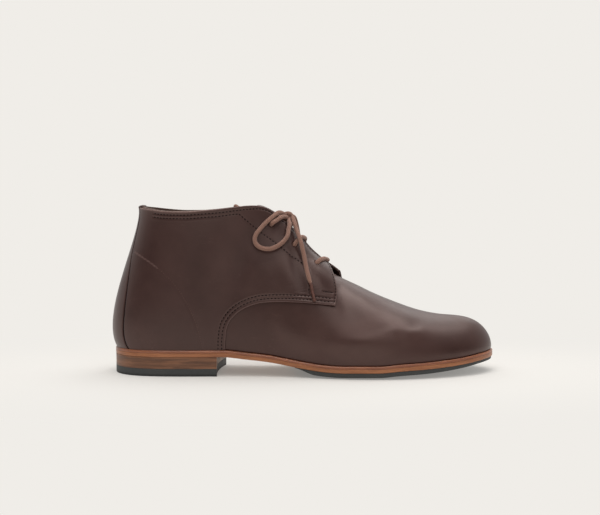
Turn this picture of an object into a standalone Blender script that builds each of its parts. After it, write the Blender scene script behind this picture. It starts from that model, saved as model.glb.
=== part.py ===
"""A right ankle-high derby boot on a leather sole, standing empty on its heel and forefoot.

Run with: blender --background --python part.py
The tables and sizes are in millimetres. x runs from the back of the sole (0) to its toe (300),
y is negative on the outer (lateral) side and positive on the inner (medial) side, and z is up
from the floor. place() turns them into metres about the model's origin.
"""

import math

import bmesh
import bpy
from mathutils import Vector

MM = 0.001
GAP = 0.32                     # between two pieces that meet

# Overall sizes
SOLE_LENGTH = 300.0
HEEL_BULGE = 2.29             # how far the quarters stand behind the sole
MIDDLE_Y = 0.64               # halfway between the sole's two sides
ORIGIN = Vector(((SOLE_LENGTH - HEEL_BULGE) / 2, MIDDLE_Y, 0.0))

# Sole unit
OUTSOLE_THICK = 3.0
MIDSOLE_THICK = 1.9
LEATHER_THICK = OUTSOLE_THICK + GAP + MIDSOLE_THICK
HEEL_SEAT_Z = 15.0            # underside of the leather outsole over the heel
TOP_PIECE_THICK = 5.9         # rubber that the heel stands on
HALF_SOLE_THICK = 3.5         # from the leather's underside to the rubber's, under the ball
HALF_SOLE_TOE = 2.2           # the same at the toe
HALF_SOLE_START = 142.0       # where the rubber begins, tapered over HALF_SOLE_TAPER
HALF_SOLE_TAPER = 16.0
HALF_SOLE_INSET = 0.9
HEEL_BREAST_LATERAL = 82.0
HEEL_BREAST_MEDIAL = 86.0
HEEL_BREAST_HOLLOW = 2.5      # how far the middle of the breast curves back
HEEL_INSET = 0.2              # the heel stands in from the sole's edge by this
FLAT_HALF_WIDTH = 26.5        # the forefoot is flat across this, and cambered outside it
CAMBER = 0.0026               # rise per square millimetre beyond the flat
TOE_SHIFT = 6.0               # the toe's tip lies this far to the inner side
TOE_SHIFT_START = 150.0

# Upper
FEATHER_INSET_HEEL = 3.0      # from the sole's edge in to the upper's foot
FEATHER_INSET_BALL = 2.4
FEATHER_INSET_TOE = 1.6
UPPER_WALL = 2.0              # vamp leather, counter and lining together
QUARTER_THICK = 1.5
INSOLE_THICK = 2.6
INSOLE_CLEAR = 0.7
INSOLE_MARGIN = 3.4           # from the upper's foot in to the insole's edge
TONGUE_THICK = 2.0
FLAP_LIFT = 3.6               # the quarters' free front corners stand off the vamp by this

LACE_DIAMETER = 3.4

# Fineness of the meshes
UPPER_STATIONS = 34           # from heel to toe
UPPER_ROWS = 12               # from foot to top edge
QUARTER_STATIONS = 22

# Half widths of the sole at each station, from its curved middle line
SOLE_PLAN = (
    # x, lateral, medial
    (0.0, 0.0, 0.0),
    (5.0, 16.8, 16.8),
    (15.0, 26.3, 26.3),
    (30.0, 31.6, 31.6),
    (45.0, 33.2, 33.0),
    (60.0, 33.4, 32.6),
    (80.0, 33.0, 30.6),
    (100.0, 33.0, 27.4),
    (120.0, 34.4, 26.0),
    (140.0, 38.2, 28.4),
    (160.0, 43.6, 34.6),
    (180.0, 48.4, 42.4),
    (195.0, 50.6, 47.2),
    (210.0, 51.0, 49.8),
    (225.0, 50.0, 50.0),
    (240.0, 47.2, 47.6),
    (255.0, 42.8, 43.0),
    (270.0, 36.6, 36.4),
    (283.0, 28.6, 27.8),
    (293.0, 18.8, 17.8),
    (300.0, 0.0, 0.0),
)

# Underside of the leather outsole along its middle line
SOLE_RISE = (
    # x, z
    (0.0, 15.0),
    (86.0, 15.0),
    (104.0, 13.2),
    (123.0, 11.1),
    (146.0, 7.0),
    (166.0, 4.2),
    (180.0, 3.5),
    (206.0, 3.5),
    (222.0, 4.8),
    (246.0, 6.4),
    (270.0, 8.7),
    (287.0, 10.8),
    (300.0, 12.0),
)

# The upper's top edge: the collar, the front corner, the slot under the laces, then the ridge
TOP_LINE = (
    # x, z lateral, z medial, y lateral, y medial
    (20.4, 130.4, 130.4, 0.0, 0.0),
    (23.0, 129.9, 130.0, -8.6, 8.6),
    (30.0, 129.0, 129.2, -16.4, 16.4),
    (42.0, 127.6, 127.8, -23.2, 23.2),
    (56.0, 127.4, 126.9, -27.4, 27.4),
    (70.0, 128.2, 127.0, -28.4, 28.4),
    (84.0, 129.3, 128.0, -26.8, 26.8),
    (96.0, 130.7, 129.7, -23.6, 23.6),
    (106.0, 131.5, 130.7, -19.4, 19.4),
    (114.0, 130.9, 130.4, -15.0, 15.0),
    (120.0, 128.8, 128.5, -11.6, 11.8),
    (126.0, 124.7, 124.9, -9.2, 9.8),
    (134.0, 117.6, 118.0, -7.6, 8.6),
    (145.0, 105.8, 106.4, -6.6, 7.8),
    (156.0, 93.0, 93.6, -5.8, 7.2),
    (165.0, 83.0, 83.0, -3.8, 6.0),
    (172.0, 77.8, 77.8, 1.0, 1.0),
    (182.0, 72.4, 72.4, 1.4, 1.4),
    (191.5, 67.8, 67.8, 1.7, 1.7),
    (201.0, 63.0, 63.0, 2.0, 2.0),
    (220.0, 55.1, 55.1, 2.6, 2.6),
    (240.0, 48.2, 48.2, 3.0, 3.0),
    (255.0, 45.0, 45.0, 3.4, 3.4),
    (268.0, 43.7, 43.7, 3.8, 3.8),
)

# How each section swells between the upper's foot and its top edge
SECTIONS = (
    # x at the foot, swell, rise, spread, drop, pinch
    (3.0, 14.9, 0.22, -0.30, 0.15, 0.0),
    (20.0, 9.4, 0.25, -0.04, 0.24, 0.8),
    (45.0, 5.4, 0.28, 0.15, 0.32, 2.0),
    (75.0, 4.0, 0.30, 0.28, 0.32, 2.2),
    (100.0, 3.6, 0.32, 0.46, 0.30, 1.2),
    (125.0, 3.4, 0.36, 0.56, 0.20, 0.0),
    (150.0, 3.4, 0.42, 0.56, 0.07, 0.0),
    (175.0, 3.4, 0.47, 0.55, 0.02, 0.0),
    (200.0, 3.4, 0.50, 0.56, 0.0, 0.0),
    (235.0, 3.3, 0.46, 0.60, 0.0, 0.0),
    (265.0, 3.2, 0.36, 0.72, 0.0, 0.0),
    (285.0, 2.8, 0.20, 0.88, -0.03, 0.0),
    (298.4, 2.3, 0.06, 1.00, -0.07, 0.0),
)

# Edge of a quarter where it laps the vamp, from its foot forward, then up its front
QUARTER_LAP = (
    # x, z
    (88.6, 15.0),
    (88.6, 27.6),
    (90.1, 38.4),
    (94.3, 45.8),
    (100.6, 51.2),
    (108.2, 54.9),
    (117.3, 57.1),
    (131.0, 57.9),
    (146.2, 57.6),
    (161.4, 56.6),
    (173.4, 55.5),
)
QUARTER_FRONT = (
    # x, z
    (173.4, 55.5),
    (175.1, 65.3),
    (173.4, 76.0),
    (171.2, 82.2),
    (168.0, 87.0),
)
MEDIAL_ADVANCE = 6.0          # the inner quarter's front lies this much further forward
SLOT_LATERAL_Y = -4.4         # the quarters' front corners stop at these, either side
SLOT_MEDIAL_Y = 5.4
FLAP_CORNER = (172.0, 80.0)   # about where each quarter's free front corner is
FLAP_REACH = 26.0

TONGUE_STATIONS = (14, 20)    # the tongue's top and front end, in the upper's own stations
TONGUE_TUCK = (0.5, 1.25, 2.0)  # how far down inside it reaches, in the upper's own rows
TONGUE_CLEAR = 0.8
TONGUE_CROWN = 0.11

# Centres of the lace holes seen from the side, from the top pair down to the vamp, and where
# the lace crosses each quarter's edge
EYELETS = (
    # x lateral, z lateral, x medial, z medial, x over the lateral edge, x over the medial edge
    (124.0, 116.9, 130.5, 111.4, 129.5, 133.5),
    (142.2, 101.5, 148.4, 96.4, 146.0, 148.0),
    (159.4, 87.3, 163.4, 82.8, 162.0, 164.2),
)
LACE_CLEAR = 0.75             # between the lace and the leather under it
KNOT_CENTRE = (136.4, 0.2, 122.0)
KNOT_SIZE = (7.6, 11.2, 7.4)

# Routes of the free lace: from the top holes up to the knot, then from the knot outwards
LATERAL_STRAND = (
    (125.0, -19.3, 118.2),
    (127.8, -17.0, 120.0),
    (130.6, -13.6, 121.8),
    (132.9, -9.2, 122.7),
    (134.0, -6.4, 121.3),
)
MEDIAL_STRAND = (
    (131.8, 19.2, 112.8),
    (133.4, 17.0, 116.2),
    (134.9, 13.6, 118.8),
    (135.9, 9.6, 120.5),
    (136.2, 7.2, 119.2),
)
LATERAL_LOOP = (
    (133.5, -3.8, 124.5),
    (129.6, -10.9, 125.9),
    (125.0, -17.0, 122.8),
    (120.0, -20.6, 118.6),
    (115.3, -23.9, 113.6),
    (112.0, -26.0, 109.0),
    (111.3, -27.0, 104.8),
    (113.4, -27.6, 101.0),
    (118.0, -27.7, 98.8),
    (123.4, -27.2, 98.5),
    (128.8, -26.0, 100.6),
    (133.2, -24.0, 103.8),
    (136.4, -20.6, 108.2),
    (137.3, -15.8, 113.0),
    (138.1, -11.2, 117.0),
    (137.3, -5.0, 119.2),
)
MEDIAL_LOOP = (
    (133.0, 4.8, 123.9),
    (132.6, 11.4, 122.9),
    (127.2, 17.6, 121.9),
    (119.6, 22.2, 122.1),
    (111.4, 25.8, 123.5),
    (103.4, 28.2, 125.6),
    (97.2, 29.2, 127.8),
    (94.2, 31.0, 129.6),
    (93.6, 34.0, 129.3),
    (94.8, 36.2, 126.4),
    (98.8, 34.8, 122.0),
    (105.6, 31.2, 117.0),
    (113.6, 27.0, 112.2),
    (122.0, 23.4, 108.4),
    (130.0, 21.6, 107.8),
    (135.6, 18.2, 110.2),
    (138.2, 14.8, 113.6),
    (139.1, 11.0, 116.7),
    (139.2, 7.5, 117.2),
    (138.4, 4.1, 118.6),
)
LATERAL_END = (
    (140.6, -2.6, 120.8),
    (141.7, -7.4, 117.6),
    (143.4, -12.8, 112.8),
    (145.6, -19.4, 107.2),
    (147.4, -23.4, 101.4),
    (149.2, -25.9, 93.6),
    (150.8, -28.5, 85.4),
    (152.7, -32.1, 77.4),
    (154.6, -34.5, 71.6),
    (155.9, -37.1, 65.4),
    (157.3, -39.8, 59.4),
)
MEDIAL_END = (
    (140.6, 3.2, 122.4),
    (142.1, 6.4, 120.5),
    (143.4, 10.4, 115.8),
    (144.4, 13.8, 110.6),
    (145.0, 17.2, 105.0),
    (145.2, 20.0, 99.4),
    (146.4, 22.4, 92.6),
    (148.4, 24.8, 85.6),
    (150.4, 27.2, 78.2),
    (152.6, 29.4, 71.4),
    (154.4, 31.2, 65.0),
    (156.0, 32.6, 59.0),
)

COLOURS = {
    # name: (red, green, blue), roughness
    "upper leather": ((0.055, 0.032, 0.027), 0.48),
    "lining leather": ((0.16, 0.09, 0.06), 0.7),
    "sole leather": ((0.30, 0.14, 0.07), 0.45),
    "stacked leather": ((0.16, 0.085, 0.055), 0.5),
    "rubber": ((0.04, 0.042, 0.043), 0.75),
    "lace": ((0.33, 0.19, 0.14), 0.8),
}


# ---- curves and tables ----

def station(x, start, end):
    """0 to 1 along a length, closer together at both ends so that the ends come out round."""
    share = min(1.0, max(0.0, (x - start) / (end - start)))
    return math.acos(1 - 2 * share) / math.pi


def at_station(u, start, end):
    return start + (end - start) * (1 - math.cos(math.pi * u)) / 2


def through(rows, column, at, key=lambda row: row[0]):
    """A smooth curve through one column of a table, read at one place."""
    keys = [key(row) for row in rows]
    values = [row[column] for row in rows]
    last = len(rows) - 1
    i = 0
    while i < last - 1 and at > keys[i + 1]:
        i += 1

    def slope(k):
        if k == 0:
            return (values[1] - values[0]) / (keys[1] - keys[0])
        if k == last:
            return (values[last] - values[last - 1]) / (keys[last] - keys[last - 1])
        before = (values[k] - values[k - 1]) / (keys[k] - keys[k - 1])
        after = (values[k + 1] - values[k]) / (keys[k + 1] - keys[k])
        if before * after <= 0:
            return 0.0
        share = (keys[k] - keys[k - 1]) / (keys[k + 1] - keys[k - 1])
        blend = before * (1 - share) + after * share
        # No overshoot beyond the table's own values.
        return math.copysign(min(abs(blend), 3 * abs(before), 3 * abs(after)), blend)

    width = keys[i + 1] - keys[i]
    s = min(1.0, max(0.0, (at - keys[i]) / width))
    return (
        values[i] * (1 + 2 * s) * (1 - s) ** 2
        + slope(i) * width * s * (1 - s) ** 2
        + values[i + 1] * s * s * (3 - 2 * s)
        + slope(i + 1) * width * s * s * (s - 1)
    )


def ease(x, start, end):
    s = min(1.0, max(0.0, (x - start) / (end - start)))
    return s * s * (3 - 2 * s)


def smooth_points(points, steps):
    """Catmull-Rom points through a list of points, with steps between each pair."""
    made = []
    for i in range(len(points) - 1):
        before = points[max(i - 1, 0)]
        start, end = points[i], points[i + 1]
        after = points[min(i + 2, len(points) - 1)]
        for k in range(steps):
            s = k / steps
            made.append(
                0.5 * (2 * start + (end - before) * s
                       + (2 * before - 5 * start + 4 * end - after) * s * s
                       + (3 * start - before - 3 * end + after) * s ** 3)
            )
    made.append(points[-1].copy())
    return made


# ---- the sole's outline and height ----

def middle_y(x):
    share = max(0.0, (x - TOE_SHIFT_START) / (SOLE_LENGTH - TOE_SHIFT_START))
    return TOE_SHIFT * share * share


def sole_edge(u, side):
    """The sole's outline at station u. side is -1 for lateral and 1 for medial."""
    x = at_station(u, 0.0, SOLE_LENGTH)
    column = 1 if side < 0 else 2
    wide = through(SOLE_PLAN, column, u, lambda row: station(row[0], 0.0, SOLE_LENGTH))
    return Vector((x, middle_y(x) + side * wide))


def inset_edge(u, side, inset):
    """The outline moved in by inset along its own normal."""
    step = 0.002
    if u <= 0:
        return sole_edge(0, side) + Vector((inset, 0))
    if u >= 1:
        return sole_edge(1, side) - Vector((inset, 0))
    along = sole_edge(min(1, u + step), side) - sole_edge(max(0, u - step), side)
    outward = Vector((along.y, -along.x)).normalized()
    if outward.y * side < 0:
        outward = -outward
    # At the very ends the two sides share one normal, along the shoe.
    return sole_edge(u, side) - outward * inset


def camber(x, y):
    beyond = max(0.0, abs(y - middle_y(x)) - FLAT_HALF_WIDTH)
    return CAMBER * beyond * beyond * ease(x, 95.0, 150.0)


def sole_under(x, y):
    """Underside of the leather outsole."""
    return through(SOLE_RISE, 1, x) + camber(x, y)


def sole_top(x, y):
    return sole_under(x, y) + LEATHER_THICK


# ---- the last: one smooth form that the upper, quarters and tongue all follow ----

def feather_inset(x):
    to_ball = (FEATHER_INSET_BALL - FEATHER_INSET_HEEL) * ease(x, 80.0, 200.0)
    to_toe = (FEATHER_INSET_TOE - FEATHER_INSET_BALL) * ease(x, 250.0, SOLE_LENGTH)
    return FEATHER_INSET_HEEL + to_ball + to_toe


def top_height(x, side):
    return through(TOP_LINE, 1 if side < 0 else 2, x)


def top_point(u, side):
    start, end = TOP_LINE[0][0], TOP_LINE[-1][0]
    x = at_station(u, start, end)
    y = through(TOP_LINE, 3 if side < 0 else 4, u, lambda row: station(row[0], start, end))
    return Vector((x, y, top_height(x, side)))


def section(u, side):
    """The four control points of the upper's section at station u, from its foot to its top."""
    x_edge = at_station(u, 0.0, SOLE_LENGTH)
    foot_plan = inset_edge(u, side, feather_inset(x_edge))
    foot = Vector((foot_plan.x, foot_plan.y, sole_top(foot_plan.x, foot_plan.y) + GAP))
    outward = (foot_plan - inset_edge(u, side, feather_inset(x_edge) + 1.0)).to_3d()
    top = top_point(u, side)

    def column(number):
        first, last = SECTIONS[0][0], SECTIONS[-1][0]
        return through(SECTIONS, number, u, lambda row: station(row[0], first, last))

    swell, rise, spread, drop, pinch = (column(number) for number in range(1, 6))
    height = top.z - foot.z
    x = min(TOP_LINE[-1][0] - 1.0, max(TOP_LINE[0][0] + 1.0, top.x))
    ridge_slope = (top_height(x + 1.0, side) - top_height(x - 1.0, side)) / 2.0
    over_ridge = ease(top.x, 112.0, 135.0)
    reach = foot - top
    first = foot + outward * swell + Vector((0, 0, height * rise))
    second = top + Vector((reach.x, reach.y, 0)) * spread
    second += Vector((0, 0, ridge_slope * reach.x * spread * over_ridge - height * drop))
    second -= outward * pinch
    return foot, first, second, top


def on_section(points, t):
    foot, first, second, top = points
    s = 1 - t
    return foot * s ** 3 + first * 3 * s * s * t + second * 3 * s * t * t + top * t ** 3


def on_last(u, t, side):
    return on_section(section(u, side), t)


def outward_normal(u, t, side):
    du, dt = 0.004, 0.01
    along = on_last(min(1, u + du), t, side) - on_last(max(0, u - du), t, side)
    up = on_last(u, min(1, t + dt), side) - on_last(u, max(0, t - dt), side)
    normal = along.cross(up).normalized()
    return normal if side < 0 else -normal


def locate(x, z, side):
    """Where on the last, as (u, t), the point seen from the side at (x, z) lies."""
    def miss(u, t):
        here = on_last(u, t, side)
        return (Vector((here.x, here.z)) - Vector((x, z))).length

    u, t = min(((i / 40, j / 16) for i in range(41) for j in range(17)), key=lambda p: miss(*p))
    step = 1 / 60
    while step > 0.00005:
        near = [(u + du * step, min(1.0, t + dt * step)) for du in (-1, 0, 1) for dt in (-1, 0, 1)]
        best = min(near, key=lambda p: miss(*p))
        if best == (u, t):
            step /= 2
        u, t = best
    return u, t


# ---- meshes ----

def place(point):
    return (Vector(point) - ORIGIN) * MM


def clear_scene():
    for obj in list(bpy.data.objects):
        bpy.data.objects.remove(obj, do_unlink=True)


def make_materials():
    made = {}
    for name, (colour, roughness) in COLOURS.items():
        material = bpy.data.materials.new(name)
        material.use_nodes = True
        shader = material.node_tree.nodes["Principled BSDF"]
        shader.inputs["Base Color"].default_value = (*colour, 1.0)
        shader.inputs["Roughness"].default_value = roughness
        made[name] = material
    return made


def add_object(name, data, material, collection):
    obj = bpy.data.objects.new(name, data)
    data.materials.append(material)
    collection.objects.link(obj)
    return obj


def add_cutter(name, mesh, cutters):
    obj = bpy.data.objects.new(name, mesh)
    obj.hide_render = True
    obj.display_type = "WIRE"
    cutters.objects.link(obj)
    return obj


def grid_mesh(name, columns, rows, point_at):
    """A grid of quads whose vertex (i, j) is at point_at(i, j), welded where points coincide."""
    bm = bmesh.new()
    bmesh.ops.create_grid(bm, x_segments=columns, y_segments=rows, size=1.0)
    bm.verts.ensure_lookup_table()
    for number, vert in enumerate(bm.verts):
        i, j = number % (columns + 1), number // (columns + 1)
        vert.co = place(point_at(i, j))
    bmesh.ops.remove_doubles(bm, verts=bm.verts, dist=0.00002)
    mesh = bpy.data.meshes.new(name)
    bm.to_mesh(mesh)
    bm.free()
    mesh.shade_smooth()
    return mesh


def thicken(obj, thickness, outwards):
    """Gives an open surface its wall, on one side of it."""
    wall = obj.modifiers.new("wall", "SOLIDIFY")
    wall.thickness = thickness * MM
    wall.offset = 1.0 if outwards else -1.0
    wall.use_even_offset = True
    return obj


def slab(name, stations, across, edges_at, top_at, under_at, material, collection):
    """A closed slab between two heights over a plan.

    edges_at(s) gives the lateral and medial edge points at s from 0 to 1.
    """
    rungs = []
    for i in range(stations + 1):
        lateral, medial = edges_at(i / stations)
        rungs.append([lateral.lerp(medial, k / across) for k in range(across + 1)])
    bm = bmesh.new()
    layers = []
    for height in (under_at, top_at):
        layers.append([[bm.verts.new(place((p.x, p.y, height(p.x, p.y)))) for p in rung]
                       for rung in rungs])
    under, top = layers
    for i in range(stations):
        for k in range(across):
            bm.faces.new((under[i][k], under[i][k + 1], under[i + 1][k + 1], under[i + 1][k]))
            bm.faces.new((top[i][k], top[i + 1][k], top[i + 1][k + 1], top[i][k + 1]))
        bm.faces.new((under[i][0], under[i + 1][0], top[i + 1][0], top[i][0]))
        bm.faces.new((under[i + 1][across], under[i][across], top[i][across], top[i + 1][across]))
    for k in range(across):
        bm.faces.new((under[0][k + 1], under[0][k], top[0][k], top[0][k + 1]))
        bm.faces.new((under[-1][k], under[-1][k + 1], top[-1][k + 1], top[-1][k]))
    bmesh.ops.remove_doubles(bm, verts=bm.verts, dist=0.00002)
    bmesh.ops.dissolve_degenerate(bm, dist=0.00002, edges=bm.edges)
    bmesh.ops.recalc_face_normals(bm, faces=bm.faces)
    mesh = bpy.data.meshes.new(name)
    bm.to_mesh(mesh)
    bm.free()
    return add_object(name, mesh, material, collection)


# ---- the sole unit ----

def full_length(inset):
    def edges_at(s):
        return inset_edge(s, -1, inset), inset_edge(s, 1, inset)
    return edges_at


def make_midsole(materials, collection):
    def under(x, y):
        return sole_under(x, y) + OUTSOLE_THICK + GAP
    slab("midsole", 36, 4, full_length(0.0), sole_top, under,
         materials["sole leather"], collection)


def make_outsole(materials, collection):
    def top(x, y):
        return sole_under(x, y) + OUTSOLE_THICK
    slab("outsole", 36, 4, full_length(0.0), top, sole_under,
         materials["sole leather"], collection)


def make_half_sole(materials, collection):
    """Rubber under the forefoot, tapered thin where it starts behind the ball."""
    first = station(HALF_SOLE_START, 0.0, SOLE_LENGTH)

    def edges_at(s):
        u = first + (1 - first) * s
        return inset_edge(u, -1, HALF_SOLE_INSET), inset_edge(u, 1, HALF_SOLE_INSET)

    def under(x, y):
        thick = HALF_SOLE_THICK + (HALF_SOLE_TOE - HALF_SOLE_THICK) * ease(x, 235.0, SOLE_LENGTH)
        start = ease(x, HALF_SOLE_START, HALF_SOLE_START + HALF_SOLE_TAPER)
        return sole_under(x, y) - GAP - 0.2 - (thick - GAP - 0.2) * start

    def top(x, y):
        return sole_under(x, y) - GAP
    slab("forefoot_rubber", 24, 4, edges_at, top, under, materials["rubber"], collection)


def heel_edges(s):
    """Heel plan: the sole's outline, cut off by the hollow, slanting breast."""
    reach = math.sin(math.pi / 2 * s)
    ends = []
    for side, breast in ((-1, HEEL_BREAST_LATERAL), (1, HEEL_BREAST_MEDIAL)):
        u = station(breast, 0.0, SOLE_LENGTH) * reach
        ends.append(inset_edge(u, side, HEEL_INSET))
    return ends


def make_heel(materials, collection):
    stack_under = TOP_PIECE_THICK + GAP

    def flat(z):
        return lambda x, y: z
    stack = slab("heel_stack", 18, 6, heel_edges, flat(HEEL_SEAT_Z - GAP), flat(stack_under),
                 materials["stacked leather"], collection)
    top_piece = slab("heel_top_piece", 18, 6, heel_edges, flat(TOP_PIECE_THICK), flat(0.0),
                     materials["rubber"], collection)
    middle = (HEEL_BREAST_LATERAL + HEEL_BREAST_MEDIAL) / 2
    for obj in (stack, top_piece):
        for vert in obj.data.vertices:
            x = vert.co.x / MM + ORIGIN.x
            y = vert.co.y / MM + ORIGIN.y
            off_centre = min(1.0, abs(y) / 31.0)
            hollow = HEEL_BREAST_HOLLOW * (1 - off_centre ** 2) * ease(x, middle - 40, middle)
            vert.co.x -= hollow * MM


def make_insole(materials, collection):
    def edges_at(s):
        inset = feather_inset(at_station(s, 0.0, SOLE_LENGTH)) + INSOLE_MARGIN
        return inset_edge(s, -1, inset), inset_edge(s, 1, inset)

    def under(x, y):
        return sole_top(x, y) + INSOLE_CLEAR

    def top(x, y):
        return sole_top(x, y) + INSOLE_CLEAR + INSOLE_THICK
    slab("insole", 32, 4, edges_at, top, under, materials["lining leather"], collection)


# ---- the upper ----

def make_upper(materials, collection):
    """One hollow wall from toe to heel, open at the collar, the lace slot and underneath."""
    sides = {side: [section(i / UPPER_STATIONS, side) for i in range(UPPER_STATIONS + 1)]
             for side in (-1, 1)}

    def point_at(i, j):
        side = -1 if i <= UPPER_STATIONS else 1
        number = i if side < 0 else 2 * UPPER_STATIONS - i
        return on_section(sides[side][number], j / UPPER_ROWS)

    mesh = grid_mesh("upper", 2 * UPPER_STATIONS, UPPER_ROWS, point_at)
    obj = add_object("upper", mesh, materials["upper leather"], collection)
    thicken(obj, UPPER_WALL, outwards=False)


def flap_lift(point):
    """How far the quarter's free front corner stands off the vamp."""
    reach = Vector((point.x - FLAP_CORNER[0], point.z - FLAP_CORNER[1])).length
    return FLAP_LIFT * (1 - ease(reach, 0.0, FLAP_REACH))


def quarter_outline(side):
    """The quarter seen from the side, open-ended past the form's own back, foot and top."""
    advance = MEDIAL_ADVANCE if side > 0 else 0.0
    edge = [Vector((x, z)) for x, z in QUARTER_LAP + QUARTER_FRONT[1:]]
    points = [Vector((-20.0, 5.0)), Vector((QUARTER_LAP[0][0], 5.0))]
    points += smooth_points(edge, 3)
    points += [Vector((QUARTER_FRONT[-1][0], 150.0)), Vector((-20.0, 150.0))]
    return [Vector((p.x + advance * ease(p.x, 110.0, 165.0), p.y)) for p in points]


def make_quarter_cutter(name, side, cutters):
    """The outline as a deep prism that covers one side of the shoe."""
    bm = bmesh.new()
    rim = [bm.verts.new(place((p.x, 0.0, p.y))) for p in quarter_outline(side)]
    face = bm.faces.new(rim)
    deep = bmesh.ops.extrude_face_region(bm, geom=[face])
    moved = [item for item in deep["geom"] if isinstance(item, bmesh.types.BMVert)]
    bmesh.ops.translate(bm, verts=moved, vec=Vector((0, side * 90.0, 0)) * MM)
    bmesh.ops.recalc_face_normals(bm, faces=bm.faces)
    mesh = bpy.data.meshes.new(name)
    bm.to_mesh(mesh)
    bm.free()
    return add_cutter(name, mesh, cutters)


def make_slot_cutter(cutters):
    """A box along the lace slot that keeps the two quarters' front corners apart."""
    bm = bmesh.new()
    bmesh.ops.create_cube(bm, size=1.0)
    low, high = place((125.0, SLOT_LATERAL_Y, 50.0)), place((200.0, SLOT_MEDIAL_Y, 170.0))
    for vert in bm.verts:
        vert.co = Vector(high[k] if vert.co[k] > 0 else low[k] for k in range(3))
    mesh = bpy.data.meshes.new("slot_cutter")
    bm.to_mesh(mesh)
    bm.free()
    return add_cutter("slot_cutter", mesh, cutters)


def cut(obj, operation, cutter):
    modifier = obj.modifiers.new(cutter.name, "BOOLEAN")
    modifier.operation = operation
    modifier.solver = "EXACT"
    modifier.object = cutter


def make_quarter(name, side, slot, materials, collection, cutters):
    """The ankle panel that laps over the vamp and carries the lace holes.

    It is a thin shell just outside the last, on the upper's own stations, cut to the outline.
    """
    def point_at(i, j):
        number = i if side < 0 else QUARTER_STATIONS - i
        u, t = max(number / UPPER_STATIONS, 0.0016), max(j / UPPER_ROWS, 0.012)
        on = on_last(u, t, side)
        return on + outward_normal(u, t, side) * (GAP + flap_lift(on))

    mesh = grid_mesh(name, QUARTER_STATIONS, UPPER_ROWS, point_at)
    obj = add_object(name, mesh, materials["upper leather"], collection)
    thicken(obj, QUARTER_THICK, outwards=True)
    cut(obj, "INTERSECT", make_quarter_cutter(name + "_cutter", side, cutters))
    cut(obj, "DIFFERENCE", slot)


def make_tongue(materials, collection):
    """A curved strip inside the lace slot, tucked under both sides of it."""
    first, last = TONGUE_STATIONS
    inward = UPPER_WALL + TONGUE_CLEAR

    def tucked(u, rows_down, side):
        t = 1.0 - rows_down / UPPER_ROWS
        return on_last(u, t, side) - outward_normal(u, min(t, 0.97), side) * inward

    def crown(u):
        opening = (top_point(u, 1) - top_point(u, -1)).length
        outward = (outward_normal(u, 0.97, -1) + outward_normal(u, 0.97, 1)).normalized()
        return (tucked(u, 0, -1) + tucked(u, 0, 1)) / 2 + outward * opening * TONGUE_CROWN

    def point_at(i, j):
        u = (first + i) / UPPER_STATIONS
        number = j - len(TONGUE_TUCK)
        if number == 0:
            return crown(u)
        return tucked(u, TONGUE_TUCK[abs(number) - 1], -1 if number < 0 else 1)

    mesh = grid_mesh("tongue", last - first, 2 * len(TONGUE_TUCK), point_at)
    obj = add_object("tongue", mesh, materials["upper leather"], collection)
    thicken(obj, TONGUE_THICK, outwards=False)


def over_quarter(u, t, side, clear):
    """The point at a height clear over the quarter's outer face."""
    on = on_last(u, t, side)
    return on + outward_normal(u, t, side) * (GAP + QUARTER_THICK + flap_lift(on) + clear)


def make_cord(name, points, materials, collection, diameter=LACE_DIAMETER):
    """A round lace through its points, closed at both ends."""
    curve = bpy.data.curves.new(name, "CURVE")
    curve.dimensions = "3D"
    curve.bevel_depth = diameter / 2 * MM
    curve.bevel_resolution = 1
    curve.use_fill_caps = True
    route = smooth_points([Vector(p) for p in points], 2)
    spline = curve.splines.new("POLY")
    spline.points.add(len(route) - 1)
    for knot, point in zip(spline.points, route):
        knot.co = (*place(point), 1.0)
    return add_object(name, curve, materials["lace"], collection)


def make_bar(name, row, materials, collection):
    """A lace bar from one quarter's hole over the slot to the other's."""
    height = LACE_DIAMETER / 2 + LACE_CLEAR
    start, end = TOP_LINE[0][0], TOP_LINE[-1][0]
    halves = []
    for side, x, z, x_edge in ((-1, row[0], row[1], row[4]), (1, row[2], row[3], row[5])):
        u, t = locate(x, z, side)
        u_edge = station(x_edge, start, end)
        halves.append([over_quarter(u + (u_edge - u) * k / 2, t + (1 - t) * k / 2, side, height)
                       for k in range(3)])
    lateral, medial = halves
    make_cord(name, lateral + medial[::-1], materials, collection)


def make_knot(materials, collection):
    bm = bmesh.new()
    bmesh.ops.create_uvsphere(bm, u_segments=12, v_segments=8, radius=0.5)
    for vert in bm.verts:
        grown = Vector(vert.co[k] * KNOT_SIZE[k] for k in range(3))
        vert.co = place(Vector(KNOT_CENTRE) + grown)
    mesh = bpy.data.meshes.new("lace_knot")
    bm.to_mesh(mesh)
    bm.free()
    mesh.shade_smooth()
    add_object("lace_knot", mesh, materials["lace"], collection)


def make_laces(materials, collection):
    make_bar("lace_bar_middle", EYELETS[1], materials, collection)
    make_bar("lace_bar_low", EYELETS[2], materials, collection)
    make_cord("lace_strand_lateral", LATERAL_STRAND, materials, collection)
    make_cord("lace_strand_medial", MEDIAL_STRAND, materials, collection)
    make_knot(materials, collection)
    make_cord("lace_loop_lateral", LATERAL_LOOP, materials, collection)
    make_cord("lace_loop_medial", MEDIAL_LOOP, materials, collection)
    make_cord("lace_end_lateral", LATERAL_END, materials, collection)
    make_cord("lace_end_medial", MEDIAL_END, materials, collection)


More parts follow.
